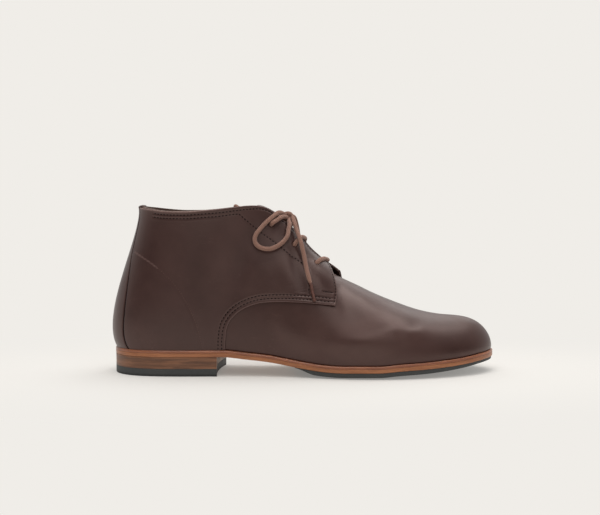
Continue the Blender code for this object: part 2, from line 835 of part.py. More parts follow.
def main():
    clear_scene()
    collection = bpy.data.collections.new("derby_boot")
    cutters = bpy.data.collections.new("cutters")
    bpy.context.scene.collection.children.link(collection)
    bpy.context.scene.collection.children.link(cutters)
    materials = make_materials()
    make_midsole(materials, collection)
    make_outsole(materials, collection)
    make_half_sole(materials, collection)
    make_heel(materials, collection)
    make_insole(materials, collection)
    make_upper(materials, collection)
    slot = make_slot_cutter(cutters)
    make_quarter("quarter_lateral", -1, slot, materials, collection, cutters)
    make_quarter("quarter_medial", 1, slot, materials, collection, cutters)
    make_tongue(materials, collection)
    make_laces(materials, collection)


main()
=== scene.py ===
import math
import random

import bmesh
import bpy
import numpy as np
from mathutils import Matrix, Vector
from mathutils.bvhtree import BVHTree
from mathutils.kdtree import KDTree


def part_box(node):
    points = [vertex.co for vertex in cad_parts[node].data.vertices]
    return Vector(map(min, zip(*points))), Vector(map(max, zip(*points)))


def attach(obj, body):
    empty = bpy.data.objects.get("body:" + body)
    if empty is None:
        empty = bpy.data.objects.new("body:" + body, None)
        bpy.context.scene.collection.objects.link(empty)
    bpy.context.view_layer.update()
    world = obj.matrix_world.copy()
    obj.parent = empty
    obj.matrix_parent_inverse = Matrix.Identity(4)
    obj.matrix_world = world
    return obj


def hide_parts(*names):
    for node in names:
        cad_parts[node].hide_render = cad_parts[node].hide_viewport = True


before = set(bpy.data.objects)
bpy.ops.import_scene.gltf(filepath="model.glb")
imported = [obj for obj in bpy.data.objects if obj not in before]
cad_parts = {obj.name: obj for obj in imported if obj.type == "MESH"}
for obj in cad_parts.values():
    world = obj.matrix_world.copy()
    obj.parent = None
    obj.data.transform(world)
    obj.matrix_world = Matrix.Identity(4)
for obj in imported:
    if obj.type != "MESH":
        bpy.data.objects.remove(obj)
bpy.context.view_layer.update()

random.seed(11)

# Lengths below are in millimetres. x runs from the back of the sole (0) to its toe (300), y is
# negative on the outer side of this right shoe and positive on the inner side, z is up.
mm = 0.001
gap = 0.3              # between pieces that lie on each other
sideShift = 0.64       # the frame's middle lies this far towards the inner side
origin = np.array([-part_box("midsole")[0].x / mm, sideShift, 0.0])


def placeAll(points):
    return (np.asarray(points, dtype=float) - origin) * mm


sole = {
    "length": 300.0,
    "outsoleThick": 3.0,
    "midsoleThick": 1.9,
    "heelSeat": 15.0,
    "topPiece": 5.9,
    "halfSoleThick": 3.5,
    "halfSoleToe": 2.2,
    "halfSoleThins": 235.0,
    "halfSoleStart": 142.0,
    "halfSoleTaper": 16.0,
    "halfSoleInset": 0.9,
    "breastLateral": 82.0,
    "breastMedial": 86.0,
    "breastHollow": 2.5,
    "breastHalfWidth": 31.0,
    "heelInset": 0.2,
    "flatHalfWidth": 26.5,
    "camber": 0.0026,
    "camberSpan": (95.0, 150.0),
    "toeShift": 6.0,
    "toeShiftStart": 150.0,
}
leatherThick = sole["outsoleThick"] + gap + sole["midsoleThick"]

# half widths of the sole on either side of its curved middle line
solePlan = (
    # x, lateral, medial
    (0.0, 0.0, 0.0),
    (5.0, 16.8, 16.8),
    (15.0, 26.3, 26.3),
    (30.0, 31.6, 31.6),
    (45.0, 33.2, 33.0),
    (60.0, 33.4, 32.6),
    (80.0, 33.0, 30.6),
    (100.0, 33.0, 27.4),
    (120.0, 34.4, 26.0),
    (140.0, 38.2, 28.4),
    (160.0, 43.6, 34.6),
    (180.0, 48.4, 42.4),
    (195.0, 50.6, 47.2),
    (210.0, 51.0, 49.8),
    (225.0, 50.0, 50.0),
    (240.0, 47.2, 47.6),
    (255.0, 42.8, 43.0),
    (270.0, 36.6, 36.4),
    (283.0, 28.6, 27.8),
    (293.0, 18.8, 17.8),
    (300.0, 0.0, 0.0),
)
# underside of the outsole along its middle
soleRise = (
    # x, z
    (0.0, 15.0),
    (86.0, 15.0),
    (104.0, 13.2),
    (123.0, 11.1),
    (146.0, 7.0),
    (166.0, 4.2),
    (180.0, 3.5),
    (206.0, 3.5),
    (222.0, 4.8),
    (246.0, 6.4),
    (270.0, 8.7),
    (287.0, 10.8),
    (300.0, 12.0),
)
# top edge of the upper: collar, front corner, slot under the laces, then the ridge to the toe
topLine = (
    # x, z lateral, z medial, y lateral, y medial
    (20.4, 130.4, 130.4, 0.0, 0.0),
    (23.0, 129.9, 130.0, -8.6, 8.6),
    (30.0, 129.0, 129.2, -16.4, 16.4),
    (42.0, 127.6, 127.8, -23.2, 23.2),
    (56.0, 127.4, 126.9, -27.4, 27.4),
    (70.0, 128.2, 127.0, -28.4, 28.4),
    (84.0, 129.3, 128.0, -26.8, 26.8),
    (96.0, 130.7, 129.7, -23.6, 23.6),
    (106.0, 131.5, 130.7, -19.4, 19.4),
    (114.0, 130.9, 130.4, -15.0, 15.0),
    (120.0, 128.8, 128.5, -11.6, 11.8),
    (126.0, 124.7, 124.9, -9.2, 9.8),
    (134.0, 117.6, 118.0, -7.6, 8.6),
    (145.0, 105.8, 106.4, -6.6, 7.8),
    (156.0, 93.0, 93.6, -5.8, 7.2),
    (165.0, 83.0, 83.0, -3.8, 6.0),
    (172.0, 77.8, 77.8, 1.0, 1.0),
    (182.0, 72.4, 72.4, 1.4, 1.4),
    (191.5, 67.8, 67.8, 1.7, 1.7),
    (201.0, 63.0, 63.0, 2.0, 2.0),
    (220.0, 55.1, 55.1, 2.6, 2.6),
    (240.0, 48.2, 48.2, 3.0, 3.0),
    (255.0, 45.0, 45.0, 3.4, 3.4),
    (268.0, 43.7, 43.7, 3.8, 3.8),
)
# how each section swells between its foot and its top edge
sectionShape = (
    # x at the foot, swell, rise, spread, drop, pinch
    (3.0, 14.9, 0.22, -0.30, 0.15, 0.0),
    (20.0, 9.4, 0.25, -0.04, 0.24, 0.8),
    (45.0, 5.4, 0.28, 0.15, 0.32, 2.0),
    (75.0, 4.0, 0.30, 0.28, 0.32, 2.2),
    (100.0, 3.6, 0.32, 0.46, 0.30, 1.2),
    (125.0, 3.4, 0.36, 0.56, 0.20, 0.0),
    (150.0, 3.4, 0.42, 0.56, 0.07, 0.0),
    (175.0, 3.4, 0.47, 0.55, 0.02, 0.0),
    (200.0, 3.4, 0.50, 0.56, 0.0, 0.0),
    (235.0, 3.3, 0.46, 0.60, 0.0, 0.0),
    (265.0, 3.2, 0.36, 0.72, 0.0, 0.0),
    (285.0, 2.8, 0.20, 0.88, -0.03, 0.0),
    (298.4, 2.3, 0.06, 1.00, -0.07, 0.0),
)


def station(x, start, end):
    # a share from 0 to 1 that moves slowly at both round ends
    share = min(1.0, max(0.0, (x - start) / (end - start)))
    return math.acos(1 - 2 * share) / math.pi


def atStation(u, start, end):
    return start + (end - start) * (1 - math.cos(math.pi * u)) / 2


def through(rows, column, at, key=lambda row: row[0]):
    # a smooth curve through a table's rows that never swings past them
    keys = [key(row) for row in rows]
    values = [row[column] for row in rows]
    last = len(rows) - 1
    i = 0
    while i < last - 1 and at > keys[i + 1]:
        i += 1

    def rise(k):
        return (values[k + 1] - values[k]) / (keys[k + 1] - keys[k])

    def slope(k):
        if k in (0, last):
            return rise(min(k, last - 1))
        before, after = rise(k - 1), rise(k)
        if before * after <= 0:
            return 0.0
        share = (keys[k] - keys[k - 1]) / (keys[k + 1] - keys[k - 1])
        steep = before * (1 - share) + after * share
        return math.copysign(min(abs(steep), 3 * abs(before), 3 * abs(after)), steep)

    width = keys[i + 1] - keys[i]
    s = min(1.0, max(0.0, (at - keys[i]) / width))
    return (
        values[i] * (1 + 2 * s) * (1 - s) ** 2
        + slope(i) * width * s * (1 - s) ** 2
        + values[i + 1] * s * s * (3 - 2 * s)
        + slope(i + 1) * width * s * s * (s - 1)
    )


def throughStations(rows, column, u, start, end):
    return through(rows, column, u, lambda row: station(row[0], start, end))


def ease(x, start, end):
    s = np.clip((x - start) / (end - start), 0.0, 1.0)
    return s * s * (3 - 2 * s)


def bell(away, width):
    return np.exp(-((away / width) ** 2))


def middleY(x):
    share = max(0.0, (x - sole["toeShiftStart"]) / (sole["length"] - sole["toeShiftStart"]))
    return sole["toeShift"] * share * share


def soleEdge(u, side):
    x = atStation(u, 0.0, sole["length"])
    wide = throughStations(solePlan, 1 if side < 0 else 2, u, 0.0, sole["length"])
    return np.array([x, middleY(x) + side * wide])


def insetEdge(u, side, inset):
    # the sole's outline, moved inwards
    step = 0.002
    if u <= 0:
        return soleEdge(0, side) + np.array([inset, 0])
    if u >= 1:
        return soleEdge(1, side) - np.array([inset, 0])
    along = soleEdge(min(1, u + step), side) - soleEdge(max(0, u - step), side)
    outward = np.array([along[1], -along[0]]) / np.hypot(*along)
    if outward[1] * side < 0:
        outward = -outward
    return soleEdge(u, side) - outward * inset


def soleUnder(x, y):
    beyond = max(0.0, abs(y - middleY(x)) - sole["flatHalfWidth"])
    return (through(soleRise, 1, x)
            + sole["camber"] * beyond * beyond * ease(x, *sole["camberSpan"]))


def soleTop(x, y):
    return soleUnder(x, y) + leatherThick


# how far the upper's foot lies inside the sole's edge, and how much less at waist and toe
feather = {"heel": 3.0, "waist": 0.6, "waistSpan": (80.0, 200.0), "toe": 0.8, "toeStart": 250.0}


def featherInset(x):
    return (feather["heel"] - feather["waist"] * ease(x, *feather["waistSpan"])
            - feather["toe"] * ease(x, feather["toeStart"], sole["length"]))


# the fine form that the pieces are laid on
form = {
    "stations": 640,
    "rows": 220,
    "ridgeSpan": (112.0, 135.0),      # where the collar's front becomes a ridge
    "footSink": 0.35,                 # how far a piece's foot goes down into the sole
}


def topHeight(x, side):
    return through(topLine, 1 if side < 0 else 2, x)


def topPoint(u, side):
    start, end = topLine[0][0], topLine[-1][0]
    x = atStation(u, start, end)
    y = throughStations(topLine, 3 if side < 0 else 4, u, start, end)
    return np.array([x, y, topHeight(x, side)])


def section(u, side):
    # four points that steer the curve from the foot of the upper to its top edge
    inset = featherInset(atStation(u, 0.0, sole["length"]))
    plan = insetEdge(u, side, inset)
    foot = np.array([*plan, soleTop(*plan) + gap])
    outward = np.array([*(plan - insetEdge(u, side, inset + 1.0)), 0.0])
    top = topPoint(u, side)
    first, last = sectionShape[0][0], sectionShape[-1][0]
    swell, rise, spread, drop, pinch = (
        throughStations(sectionShape, column, u, first, last) for column in range(1, 6))
    height = top[2] - foot[2]
    x = min(topLine[-1][0] - 1.0, max(topLine[0][0] + 1.0, top[0]))
    ridgeSlope = (topHeight(x + 1.0, side) - topHeight(x - 1.0, side)) / 2.0
    overRidge = ease(top[0], *form["ridgeSpan"])
    reach = foot - top
    lower = foot + outward * swell + np.array([0, 0, height * rise])
    upper = top + np.array([reach[0], reach[1], 0]) * spread - outward * pinch
    upper[2] += ridgeSlope * reach[0] * spread * overRidge - height * drop
    return foot, lower, upper, top


def buildForm(side):
    t = np.linspace(0.0, 1.0, form["rows"] + 1)[:, None]
    s = 1 - t
    rows = []
    for i in range(form["stations"] + 1):
        foot, lower, upper, top = section(i / form["stations"], side)
        rows.append(foot * s**3 + lower * 3 * s * s * t + upper * 3 * s * t * t + top * t**3)
    points = np.array(rows)
    normals = np.cross(np.gradient(points, axis=0), np.gradient(points, axis=1))
    normals *= 1 if side < 0 else -1
    normals[0, :, 1] = 0.0
    normals[-1, :, 1] = 0.0
    return points, normals / np.linalg.norm(normals, axis=2, keepdims=True)


formPoints, formNormals = {}, {}
for side in (-1, 1):
    formPoints[side], formNormals[side] = buildForm(side)
# over the ridge, where the two sides meet, they share one normal
touching = 0.05        # they meet where they are closer than this
ridge = np.linalg.norm(formPoints[-1][:, -1] - formPoints[1][:, -1], axis=1) < touching
shared = formNormals[-1][ridge, -3] + formNormals[1][ridge, -3]
shared /= np.linalg.norm(shared, axis=1, keepdims=True)
for side in (-1, 1):
    formNormals[side][:, -2:] = formNormals[side][:, -3:-2]
    formNormals[side][ridge, -1] = shared
print("the shoe's form is ready")


def sample(grid, u, t):
    # a value between the corners of a grid, at shares u and t of its length and height
    a = np.clip(np.asarray(u, dtype=float), 0, 1) * (grid.shape[0] - 1)
    b = np.clip(np.asarray(t, dtype=float), 0, 1) * (grid.shape[1] - 1)
    i = np.minimum(a.astype(int), grid.shape[0] - 2)
    j = np.minimum(b.astype(int), grid.shape[1] - 2)
    fa, fb = (a - i)[..., None], (b - j)[..., None]
    return (grid[i, j] * (1 - fa) * (1 - fb) + grid[i + 1, j] * fa * (1 - fb)
            + grid[i, j + 1] * (1 - fa) * fb + grid[i + 1, j + 1] * fa * fb)


def onForm(u, t, side, lift=0.0):
    normal = sample(formNormals[side], u, t)
    normal /= np.linalg.norm(normal, axis=-1, keepdims=True)
    lift = np.asarray(lift, dtype=float)
    return sample(formPoints[side], u, t) + normal * lift[..., None], normal


def lengths(points):
    steps = np.linalg.norm(np.diff(points, axis=0), axis=1)
    return np.concatenate([[0.0], np.cumsum(steps)])


def readAt(at, run, points):
    return np.array([np.interp(at, run, column) for column in points.T]).T


def evenPoints(points, spacing):
    run = lengths(points)
    count = max(2, int(round(run[-1] / spacing)) + 1)
    return readAt(np.linspace(0.0, run[-1], count), run, points)


def smoothPoints(points, steps):
    # a smooth line through the points, with this many steps from each to the next
    points = np.asarray(points, dtype=float)
    made = []
    for i in range(len(points) - 1):
        before, after = points[max(i - 1, 0)], points[min(i + 2, len(points) - 1)]
        start, end = points[i], points[i + 1]
        for k in range(steps):
            s = k / steps
            made.append(0.5 * (2 * start + (end - before) * s
                               + (2 * before - 5 * start + 4 * end - after) * s * s
                               + (3 * start - before - 3 * end + after) * s**3))
    made.append(points[-1])
    return np.array(made)


def treeOf(points):
    tree = KDTree(len(points))
    for number, point in enumerate(points):
        tree.insert(point, number)
    tree.balance()
    return tree


def distances(points, tree):
    flat = points.reshape(-1, 3)
    return np.array([tree.find(point)[2] for point in flat]).reshape(points.shape[:-1])


quarter = {
    "thick": 1.5,
    "wall": 1.4,             # what is left of it under its face
    "columns": 250,
    "rows": 116,
    "advanceMedial": 6.0,    # the inner quarter reaches this much further forward
    "advanceSpan": (110.0, 165.0),
    "slotLateral": 4.4,      # half width of the slot under the laces
    "slotMedial": 5.4,
    "slotStart": 0.42,       # the station where it opens
    "flapX": 172.0,          # the free front corner stands off round this place
    "flapZ": 80.0,
    "flapReach": 26.0,
    "flapLift": 3.6,
    "edgeRound": 0.55,
    "seamRound": 0.7,
}
quarterLap = (
    # x, z of the edge over the vamp, from the sole forward
    (88.6, 27.6),
    (90.1, 38.4),
    (94.3, 45.8),
    (100.6, 51.2),
    (108.2, 54.9),
    (117.3, 57.1),
    (131.0, 57.9),
    (146.2, 57.6),
    (161.4, 56.6),
    (173.4, 55.5),
)
quarterFront = (
    # x, z up the front edge
    (173.4, 55.5),
    (175.1, 65.3),
    (173.4, 76.0),
    (171.2, 82.2),
)


def flapLift(points):
    reach = np.hypot(points[..., 0] - quarter["flapX"], points[..., 2] - quarter["flapZ"])
    return quarter["flapLift"] * (1 - ease(reach, 0.0, quarter["flapReach"]))


def searched(grid):
    # every other corner, as far forward as the quarters reach
    return grid[:400:2, ::2].reshape(-1, 3)


# the quarters' outer face, and a search tree over it for each side
quarterFace, faceTree = {}, {}
for side in (-1, 1):
    lift = gap + quarter["thick"] + flapLift(formPoints[side])
    quarterFace[side] = formPoints[side] + formNormals[side] * lift[..., None]
    faceTree[side] = treeOf(searched(quarterFace[side]))


def locate(x, z, side):
    # the place (u, t) on the form where the outer face has this x and z
    face, nudge, reach = quarterFace[side], 0.001, 0.004
    miss = np.hypot(face[:, :-6, 0] - x, face[:, :-6, 2] - z)
    i, j = np.unravel_index(np.argmin(miss), miss.shape)
    u, t = i / form["stations"], j / form["rows"]
    for _ in range(4):
        here = sample(face, u, t)
        du = (sample(face, min(1, u + nudge), t)
              - sample(face, max(0, u - nudge), t)) / (2 * nudge)
        dt = (sample(face, u, min(1, t + 2 * nudge))
              - sample(face, u, max(0, t - 2 * nudge))) / (4 * nudge)
        grid = np.array([[du[0], dt[0]], [du[2], dt[2]]])
        step = np.linalg.solve(grid, [x - here[0], z - here[2]])
        step = np.clip(step, -reach, reach)
        u, t = min(1, max(0, u + step[0])), min(1, max(0, t + step[1]))
    return u, t


def locateAll(table, side, steps):
    # places along a smooth line, further forward on the inner side
    advance = quarter["advanceMedial"] if side > 0 else 0.0
    return [locate(x + advance * float(ease(x, *quarter["advanceSpan"])), z, side)
            for x, z in smoothPoints(table, steps)]


def onFace(places, side):
    return sample(quarterFace[side], places[:, 0], places[:, 1])


def seatOnFace(points, side):
    # points moved straight onto the quarter's outer face
    face, normals = searched(quarterFace[side]), searched(formNormals[side])
    seated = []
    for point in points:
        number = faceTree[side].find(point)[1]
        normal = normals[number]
        seated.append(point - normal * np.dot(point - face[number], normal))
    return np.array(seated)


def newPiece(name, mesh, finishes, replaced=()):
    piece = bpy.data.objects.new(name, mesh)
    bpy.context.scene.collection.objects.link(piece)
    for finish in finishes:
        mesh.materials.append(finish)
    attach(piece, "root")
    if replaced:
        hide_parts(*replaced)
    return piece


# corners closer than the first are joined, faces thinner than the second are taken out
weldReach, sliver = 0.01, 0.004


def gridMesh(name, points, flip=False, weld=0.0, values=None, faceSlots=None):
    # points[i, j] are the places of a grid's corners, values are numbers kept at each of them
    columns, rows = points.shape[0] - 1, points.shape[1] - 1
    bm = bmesh.new()
    bmesh.ops.create_grid(bm, x_segments=columns, y_segments=rows, size=1.0)
    if flip:
        bmesh.ops.reverse_faces(bm, faces=bm.faces)
    mesh = bpy.data.meshes.new(name)
    bm.to_mesh(mesh)
    bm.free()
    mesh.vertices.foreach_set("co", placeAll(points).transpose(1, 0, 2).reshape(-1))
    for label, numbers in (values or {}).items():
        stored = mesh.attributes.new(label, "FLOAT", "POINT")
        stored.data.foreach_set("value", np.asarray(numbers, dtype=float).T.reshape(-1))
    if faceSlots is not None:
        slots = np.repeat(np.asarray(faceSlots, dtype=np.int32), columns)
        mesh.polygons.foreach_set("material_index", slots)
    if weld:
        bm = bmesh.new()
        bm.from_mesh(mesh)
        bmesh.ops.remove_doubles(bm, verts=bm.verts, dist=weld * mm)
        bmesh.ops.dissolve_degenerate(bm, dist=sliver * mm, edges=bm.edges)
        bm.to_mesh(mesh)
        bm.free()
    mesh.update()
    mesh.shade_smooth()
    return mesh


def thicken(piece, thick, rim=1, inner=2):
    wall = piece.modifiers.new("wall", "SOLIDIFY")
    wall.thickness = thick * mm
    wall.offset = -1.0
    wall.use_even_offset = False
    wall.material_offset_rim = rim
    wall.material_offset = inner


def carried(points):
    # frames that travel along a line without twisting
    along = np.gradient(points, axis=0)
    along /= np.linalg.norm(along, axis=1, keepdims=True)
    across = np.cross(along[0], (0.31, 0.17, 0.93))
    frames = []
    for direction in along:
        across = across - direction * np.dot(across, direction)
        across /= np.linalg.norm(across)
        frames.append((across, np.cross(direction, across)))
    return along, frames


cordEnd = {"rings": (0.5, 0.87, 1.0), "long": 0.6}     # in shares of the cord's radius


def tubeMesh(name, points, radii, around, profile=None):
    # a round tube through the points, rounded shut at both ends
    along, frames = carried(points)
    run = lengths(points)
    angles = np.linspace(0, 2 * math.pi, around + 1)
    rings, runs = [], []
    for k, point in enumerate(points):
        radius = radii[k] + (profile(run[k], angles) if profile else 0.0 * angles)
        rings.append(point + np.outer(np.cos(angles) * radius, frames[k][0])
                     + np.outer(np.sin(angles) * radius, frames[k][1]))
        runs.append(run[k])
    for end, way in ((0, -1), (-1, 1)):
        base, middle = rings[end], points[end]
        for share in cordEnd["rings"]:
            ring = middle + (base - middle) * math.sqrt(1 - share * share)
            ring = ring + along[end] * way * radii[end] * share * cordEnd["long"]
            spot = 0 if way < 0 else len(rings)
            rings.insert(spot, ring)
            runs.insert(spot, run[end])
    turns = np.tile(angles / (2 * math.pi), (len(rings), 1))
    return gridMesh(name, np.array(rings), flip=True, weld=weldReach,
                    values={"run": np.array(runs)[:, None] + 0 * turns, "turn": turns})


view = {"place": (146.2, -1000.0, 155.0), "down": 3.72, "lens": 75.84, "sensor": 36.0}

cameraData = bpy.data.cameras.new("camera")
cameraData.lens = view["lens"]
cameraData.sensor_width = view["sensor"]
cameraData.sensor_fit = "HORIZONTAL"
cameraData.clip_start = 0.02
camera = bpy.data.objects.new("camera", cameraData)
camera.location = placeAll(view["place"])
camera.rotation_euler = (math.radians(90.0 - view["down"]), 0.0, 0.0)
bpy.context.scene.collection.objects.link(camera)
bpy.context.scene.camera = camera


lace = {
    "thick": 3.4,
    "step": 0.36,         # between rings along the cord
    "around": 30,
    "ply": 0.11,          # how far the braid's plies stand up
    "plies": 6,
    "pitch": 5.2,         # length over which a ply goes once round
    "smooth": 12,         # steps between the points of a route
    "holeDeep": -1.0,     # where the cord ends in the top hole
    "knotInto": (1.2, -0.6, -0.6),    # its turns inside the knot, from the knot's middle
    "knotOut": (1.6, -0.4, 0.4),
    "tipLong": 15.0,
    "tipThick": 2.3,
    "tipAround": 20,
    "tipBlend": (-3.0, 4.5),          # the cord narrows over this span at the tip's start
    "tipSink": 0.25,                  # and runs this deep inside the tip
    "tipTaper": 0.12,
    "tipTaperSpan": (11.0, 15.0),
    "bandHigh": 0.06,                 # pressed bands at the tip's start
    "bandPitch": 5.0,
    "bandWide": 0.5,
    "bandsEnd": 6.0,
}
eyelets = (
    # x, z of the outer hole, x, z of the inner hole, x where the lace crosses each edge
    (124.0, 116.9, 130.5, 111.4, 129.5, 133.5),
    (142.2, 101.5, 148.4, 96.4, 146.0, 148.0),
    (159.4, 87.3, 163.4, 82.8, 162.0, 164.2),
)
outerStrand = (
    (125.0, -19.3, 118.2), (127.8, -17.0, 120.0), (130.6, -13.6, 121.8),
    (132.9, -9.2, 122.7), (134.0, -6.4, 121.3),
)
innerStrand = (
    (131.8, 19.2, 112.8), (133.4, 17.0, 116.2), (134.9, 13.6, 118.8), (135.9, 9.6, 120.5),
    (136.2, 7.2, 119.2),
)
outerLoop = (
    (133.5, -3.8, 124.5), (129.6, -10.9, 125.9), (125.0, -17.0, 122.8),
    (120.0, -20.6, 118.6), (115.3, -23.9, 113.6), (112.0, -26.0, 109.0),
    (111.3, -27.0, 104.8), (113.4, -27.6, 101.0), (118.0, -27.7, 98.8),
    (123.4, -27.2, 98.5), (128.8, -26.0, 100.6), (133.2, -24.0, 103.8),
    (136.4, -20.6, 108.2), (137.3, -15.8, 113.0), (138.1, -11.2, 117.0),
    (137.3, -5.0, 119.2),
)
innerLoop = (
    (133.0, 4.8, 123.9), (132.6, 11.4, 122.9), (127.2, 17.6, 121.9),
    (119.6, 22.2, 122.1), (111.4, 25.8, 123.5), (103.4, 28.2, 125.6),
    (97.2, 29.2, 127.8), (94.2, 31.0, 129.6), (93.6, 34.0, 129.3),
    (94.8, 36.2, 126.4), (98.8, 34.8, 122.0), (105.6, 31.2, 117.0),
    (113.6, 27.0, 112.2), (122.0, 23.4, 108.4), (130.0, 21.6, 107.8),
    (135.6, 18.2, 110.2), (138.2, 14.8, 113.6), (139.1, 11.0, 116.7),
    (139.2, 7.5, 117.2), (138.4, 4.1, 118.6),
)
outerEnd = (
    (140.6, -2.6, 120.8), (141.7, -7.4, 117.6), (143.4, -12.8, 112.8),
    (145.6, -19.4, 107.2), (147.4, -23.4, 101.4), (149.2, -25.9, 93.6),
    (150.8, -28.5, 85.4), (152.7, -32.1, 77.4), (154.6, -34.5, 71.6),
    (155.9, -37.1, 65.4), (157.3, -39.8, 59.4),
)
innerEnd = (
    (140.6, 3.2, 122.4), (142.1, 6.4, 120.5), (143.4, 10.4, 115.8), (144.4, 13.8, 110.6),
    (145.0, 17.2, 105.0), (145.2, 20.0, 99.4), (146.4, 22.4, 92.6), (148.4, 24.8, 85.6),
    (150.4, 27.2, 78.2), (152.6, 29.4, 71.4), (154.4, 31.2, 65.0), (156.0, 32.6, 59.0),
)
knotMiddle = np.array([136.4, 0.2, 122.0])


def braid(run, angles):
    # two sets of plies that cross
    turn = 2 * math.pi * run / lace["pitch"]
    one = np.cos(lace["plies"] * angles / 2 + turn * lace["plies"] / 2)
    other = np.cos(lace["plies"] * angles / 2 - turn * lace["plies"] / 2)
    over = np.maximum(np.abs(one), np.abs(other))
    return lace["ply"] * (over - 0.75) * 2


def cordPiece(name, points, radius, replaced):
    mesh = tubeMesh(name, points, radius, lace["around"], braid)
    return newPiece(name, mesh, [laceFinish], replaced)


def holePlace(row, side, clear):
    # the middle of a lace hole, at a height over the quarter's face
    x, z = row[:2] if side < 0 else row[2:4]
    u, t = locate(x, z, side)
    return sample(quarterFace[side], u, t) + onForm(u, t, side)[1] * clear


def makeLace(name, label, side, pieces, replaced):
    strand, loop, end = (np.array(piece) for piece in pieces)
    # inside the knot the cord turns from one part of its route to the next
    into, out = (knotMiddle + np.array(lace[turn]) * (1, side, 1)
                 for turn in ("knotInto", "knotOut"))
    hole = holePlace(eyelets[0], side, lace["holeDeep"])
    route = [hole, *strand[:-1], into, *loop, out, *end]
    points = evenPoints(smoothPoints(route, lace["smooth"]), lace["step"])
    run = lengths(points)
    left = run[-1] - run
    inside = lace["tipThick"] / 2 - lace["tipSink"]
    blendStart, blendEnd = (lace["tipLong"] + reach for reach in lace["tipBlend"])
    radius = inside + (lace["thick"] / 2 - inside) * ease(left, blendStart, blendEnd)
    cord = cordPiece(name, points, radius, replaced)
    tipPoints = points[left < lace["tipLong"]]
    tipRun = lengths(tipPoints)
    tipRadius = lace["tipThick"] / 2 * (1 - lace["tipTaper"] * ease(tipRun, *lace["tipTaperSpan"]))
    fromBand = tipRun % lace["bandPitch"] - lace["bandPitch"] / 2
    tipRadius += lace["bandHigh"] * bell(fromBand, lace["bandWide"]) * (tipRun < lace["bandsEnd"])
    tip = newPiece(label, tubeMesh(label, tipPoints, tipRadius, lace["tipAround"]),
                   [tipFinish])
    print(name, "is", round(run[-1]), "mm long")


# where a lower bar crosses: share of the way to the slot's edge, height over the face
barRoute = ((-0.05, -2.6), (0.02, -0.2), (0.24, 1.1), (0.6, 1.1), (1, 1.15))


def makeBar(name, replaced, row):
    halves = []
    for side, x, z, edge in ((-1, row[0], row[1], row[4]), (1, row[2], row[3], row[5])):
        u, t = locate(x, z, side)
        uEdge = station(edge, topLine[0][0], topLine[-1][0])
        part = []
        for share, clear in barRoute:
            a, b = u + (uEdge - u) * share, min(1.0, t + (1 - t) * share)
            part.append(sample(quarterFace[side], a, b) + onForm(a, b, side)[1] * clear)
        halves.append(part)
    route = halves[0] + halves[1][::-1]
    points = evenPoints(smoothPoints(route, lace["smooth"]), lace["step"])
    cordPiece(name, points, np.full(len(points), lace["thick"] / 2), [replaced])


knot = {
    "thick": 3.5,
    "reach": 3.1,
    "wave": 0.15,
    "flat": 0.95,
    "start": 0.9,
    "turns": 1.12,
    "sway": 4.08,
}


def makeKnot():
    # a turn of lace round the middle, drawn tight over the two bows
    points = []
    for share in np.linspace(0, 1, 65):
        angle = 2 * math.pi * share * knot["turns"] + knot["start"]
        reach = (knot["reach"] + knot["wave"] * math.sin(3 * angle)) * knot["flat"]
        points.append(knotMiddle + (reach * math.cos(angle), knot["sway"] * (share - 0.5),
                                    reach * math.sin(angle)))
    points = evenPoints(np.array(points), lace["step"])
    cordPiece("laceKnot", points, np.full(len(points), knot["thick"] / 2), ["lace_knot"])


def put(tree, made, values):
    # each input, by its name or number, gets a link or a fixed value
    for label, value in values.items():
        if isinstance(value, bpy.types.NodeSocket):
            tree.links.new(value, made.inputs[label])
        else:
            made.inputs[label].default_value = value
    return made


def node(tree, kind, values=None, **settings):
    made = tree.nodes.new(kind)
    for label, value in settings.items():
        setattr(made, label, value)
    return put(tree, made, values or {})


def maths(tree, operation, *values):
    return node(tree, "ShaderNodeMath", dict(enumerate(values)), operation=operation).outputs[0]


def times(tree, first, second):
    return maths(tree, "MULTIPLY", first, second)


def plus(tree, first, second):
    return maths(tree, "ADD", first, second)


def blend(tree, share, first, second):
    first, second = ((*tone, 1.0) if isinstance(tone, tuple) else tone for tone in (first, second))
    return node(tree, "ShaderNodeMix", {0: share, 6: first, 7: second},
                data_type="RGBA", clamp_factor=True).outputs[2]


def tint(tree, colour, mask, strength, tone):
    # a tone laid over the colour where the mask says
    return blend(tree, times(tree, mask, strength), colour, tone)


def darker(tone, share):
    return tuple(part * share for part in tone)


def ramp(tree, value, low, high):
    # 0 below low, 1 above high, smooth between
    return node(tree, "ShaderNodeMapRange", {0: value, 1: low, 2: high, 3: 0.0, 4: 1.0},
                interpolation_type="SMOOTHSTEP").outputs[0]


def noise(tree, vector, scale, detail=2.0, rough=0.5, distortion=0.0):
    return node(tree, "ShaderNodeTexNoise",
                {"Vector": vector, "Scale": scale, "Detail": detail, "Roughness": rough,
                 "Distortion": distortion}).outputs[0]


def split(tree, vector):
    return node(tree, "ShaderNodeSeparateXYZ", {0: vector}).outputs


def newGroup(name, setting, amount, outputs):
    # a group that takes a place and one setting
    group = bpy.data.node_groups.new(name, "ShaderNodeTree")
    group.interface.new_socket("Vector", in_out="INPUT", socket_type="NodeSocketVector")
    socket = group.interface.new_socket(setting, in_out="INPUT", socket_type="NodeSocketFloat")
    socket.default_value = amount
    for label in outputs:
        group.interface.new_socket(label, in_out="OUTPUT", socket_type="NodeSocketFloat")
    given = group.nodes.new("NodeGroupInput").outputs
    return group, given["Vector"], given[setting], group.nodes.new("NodeGroupOutput")


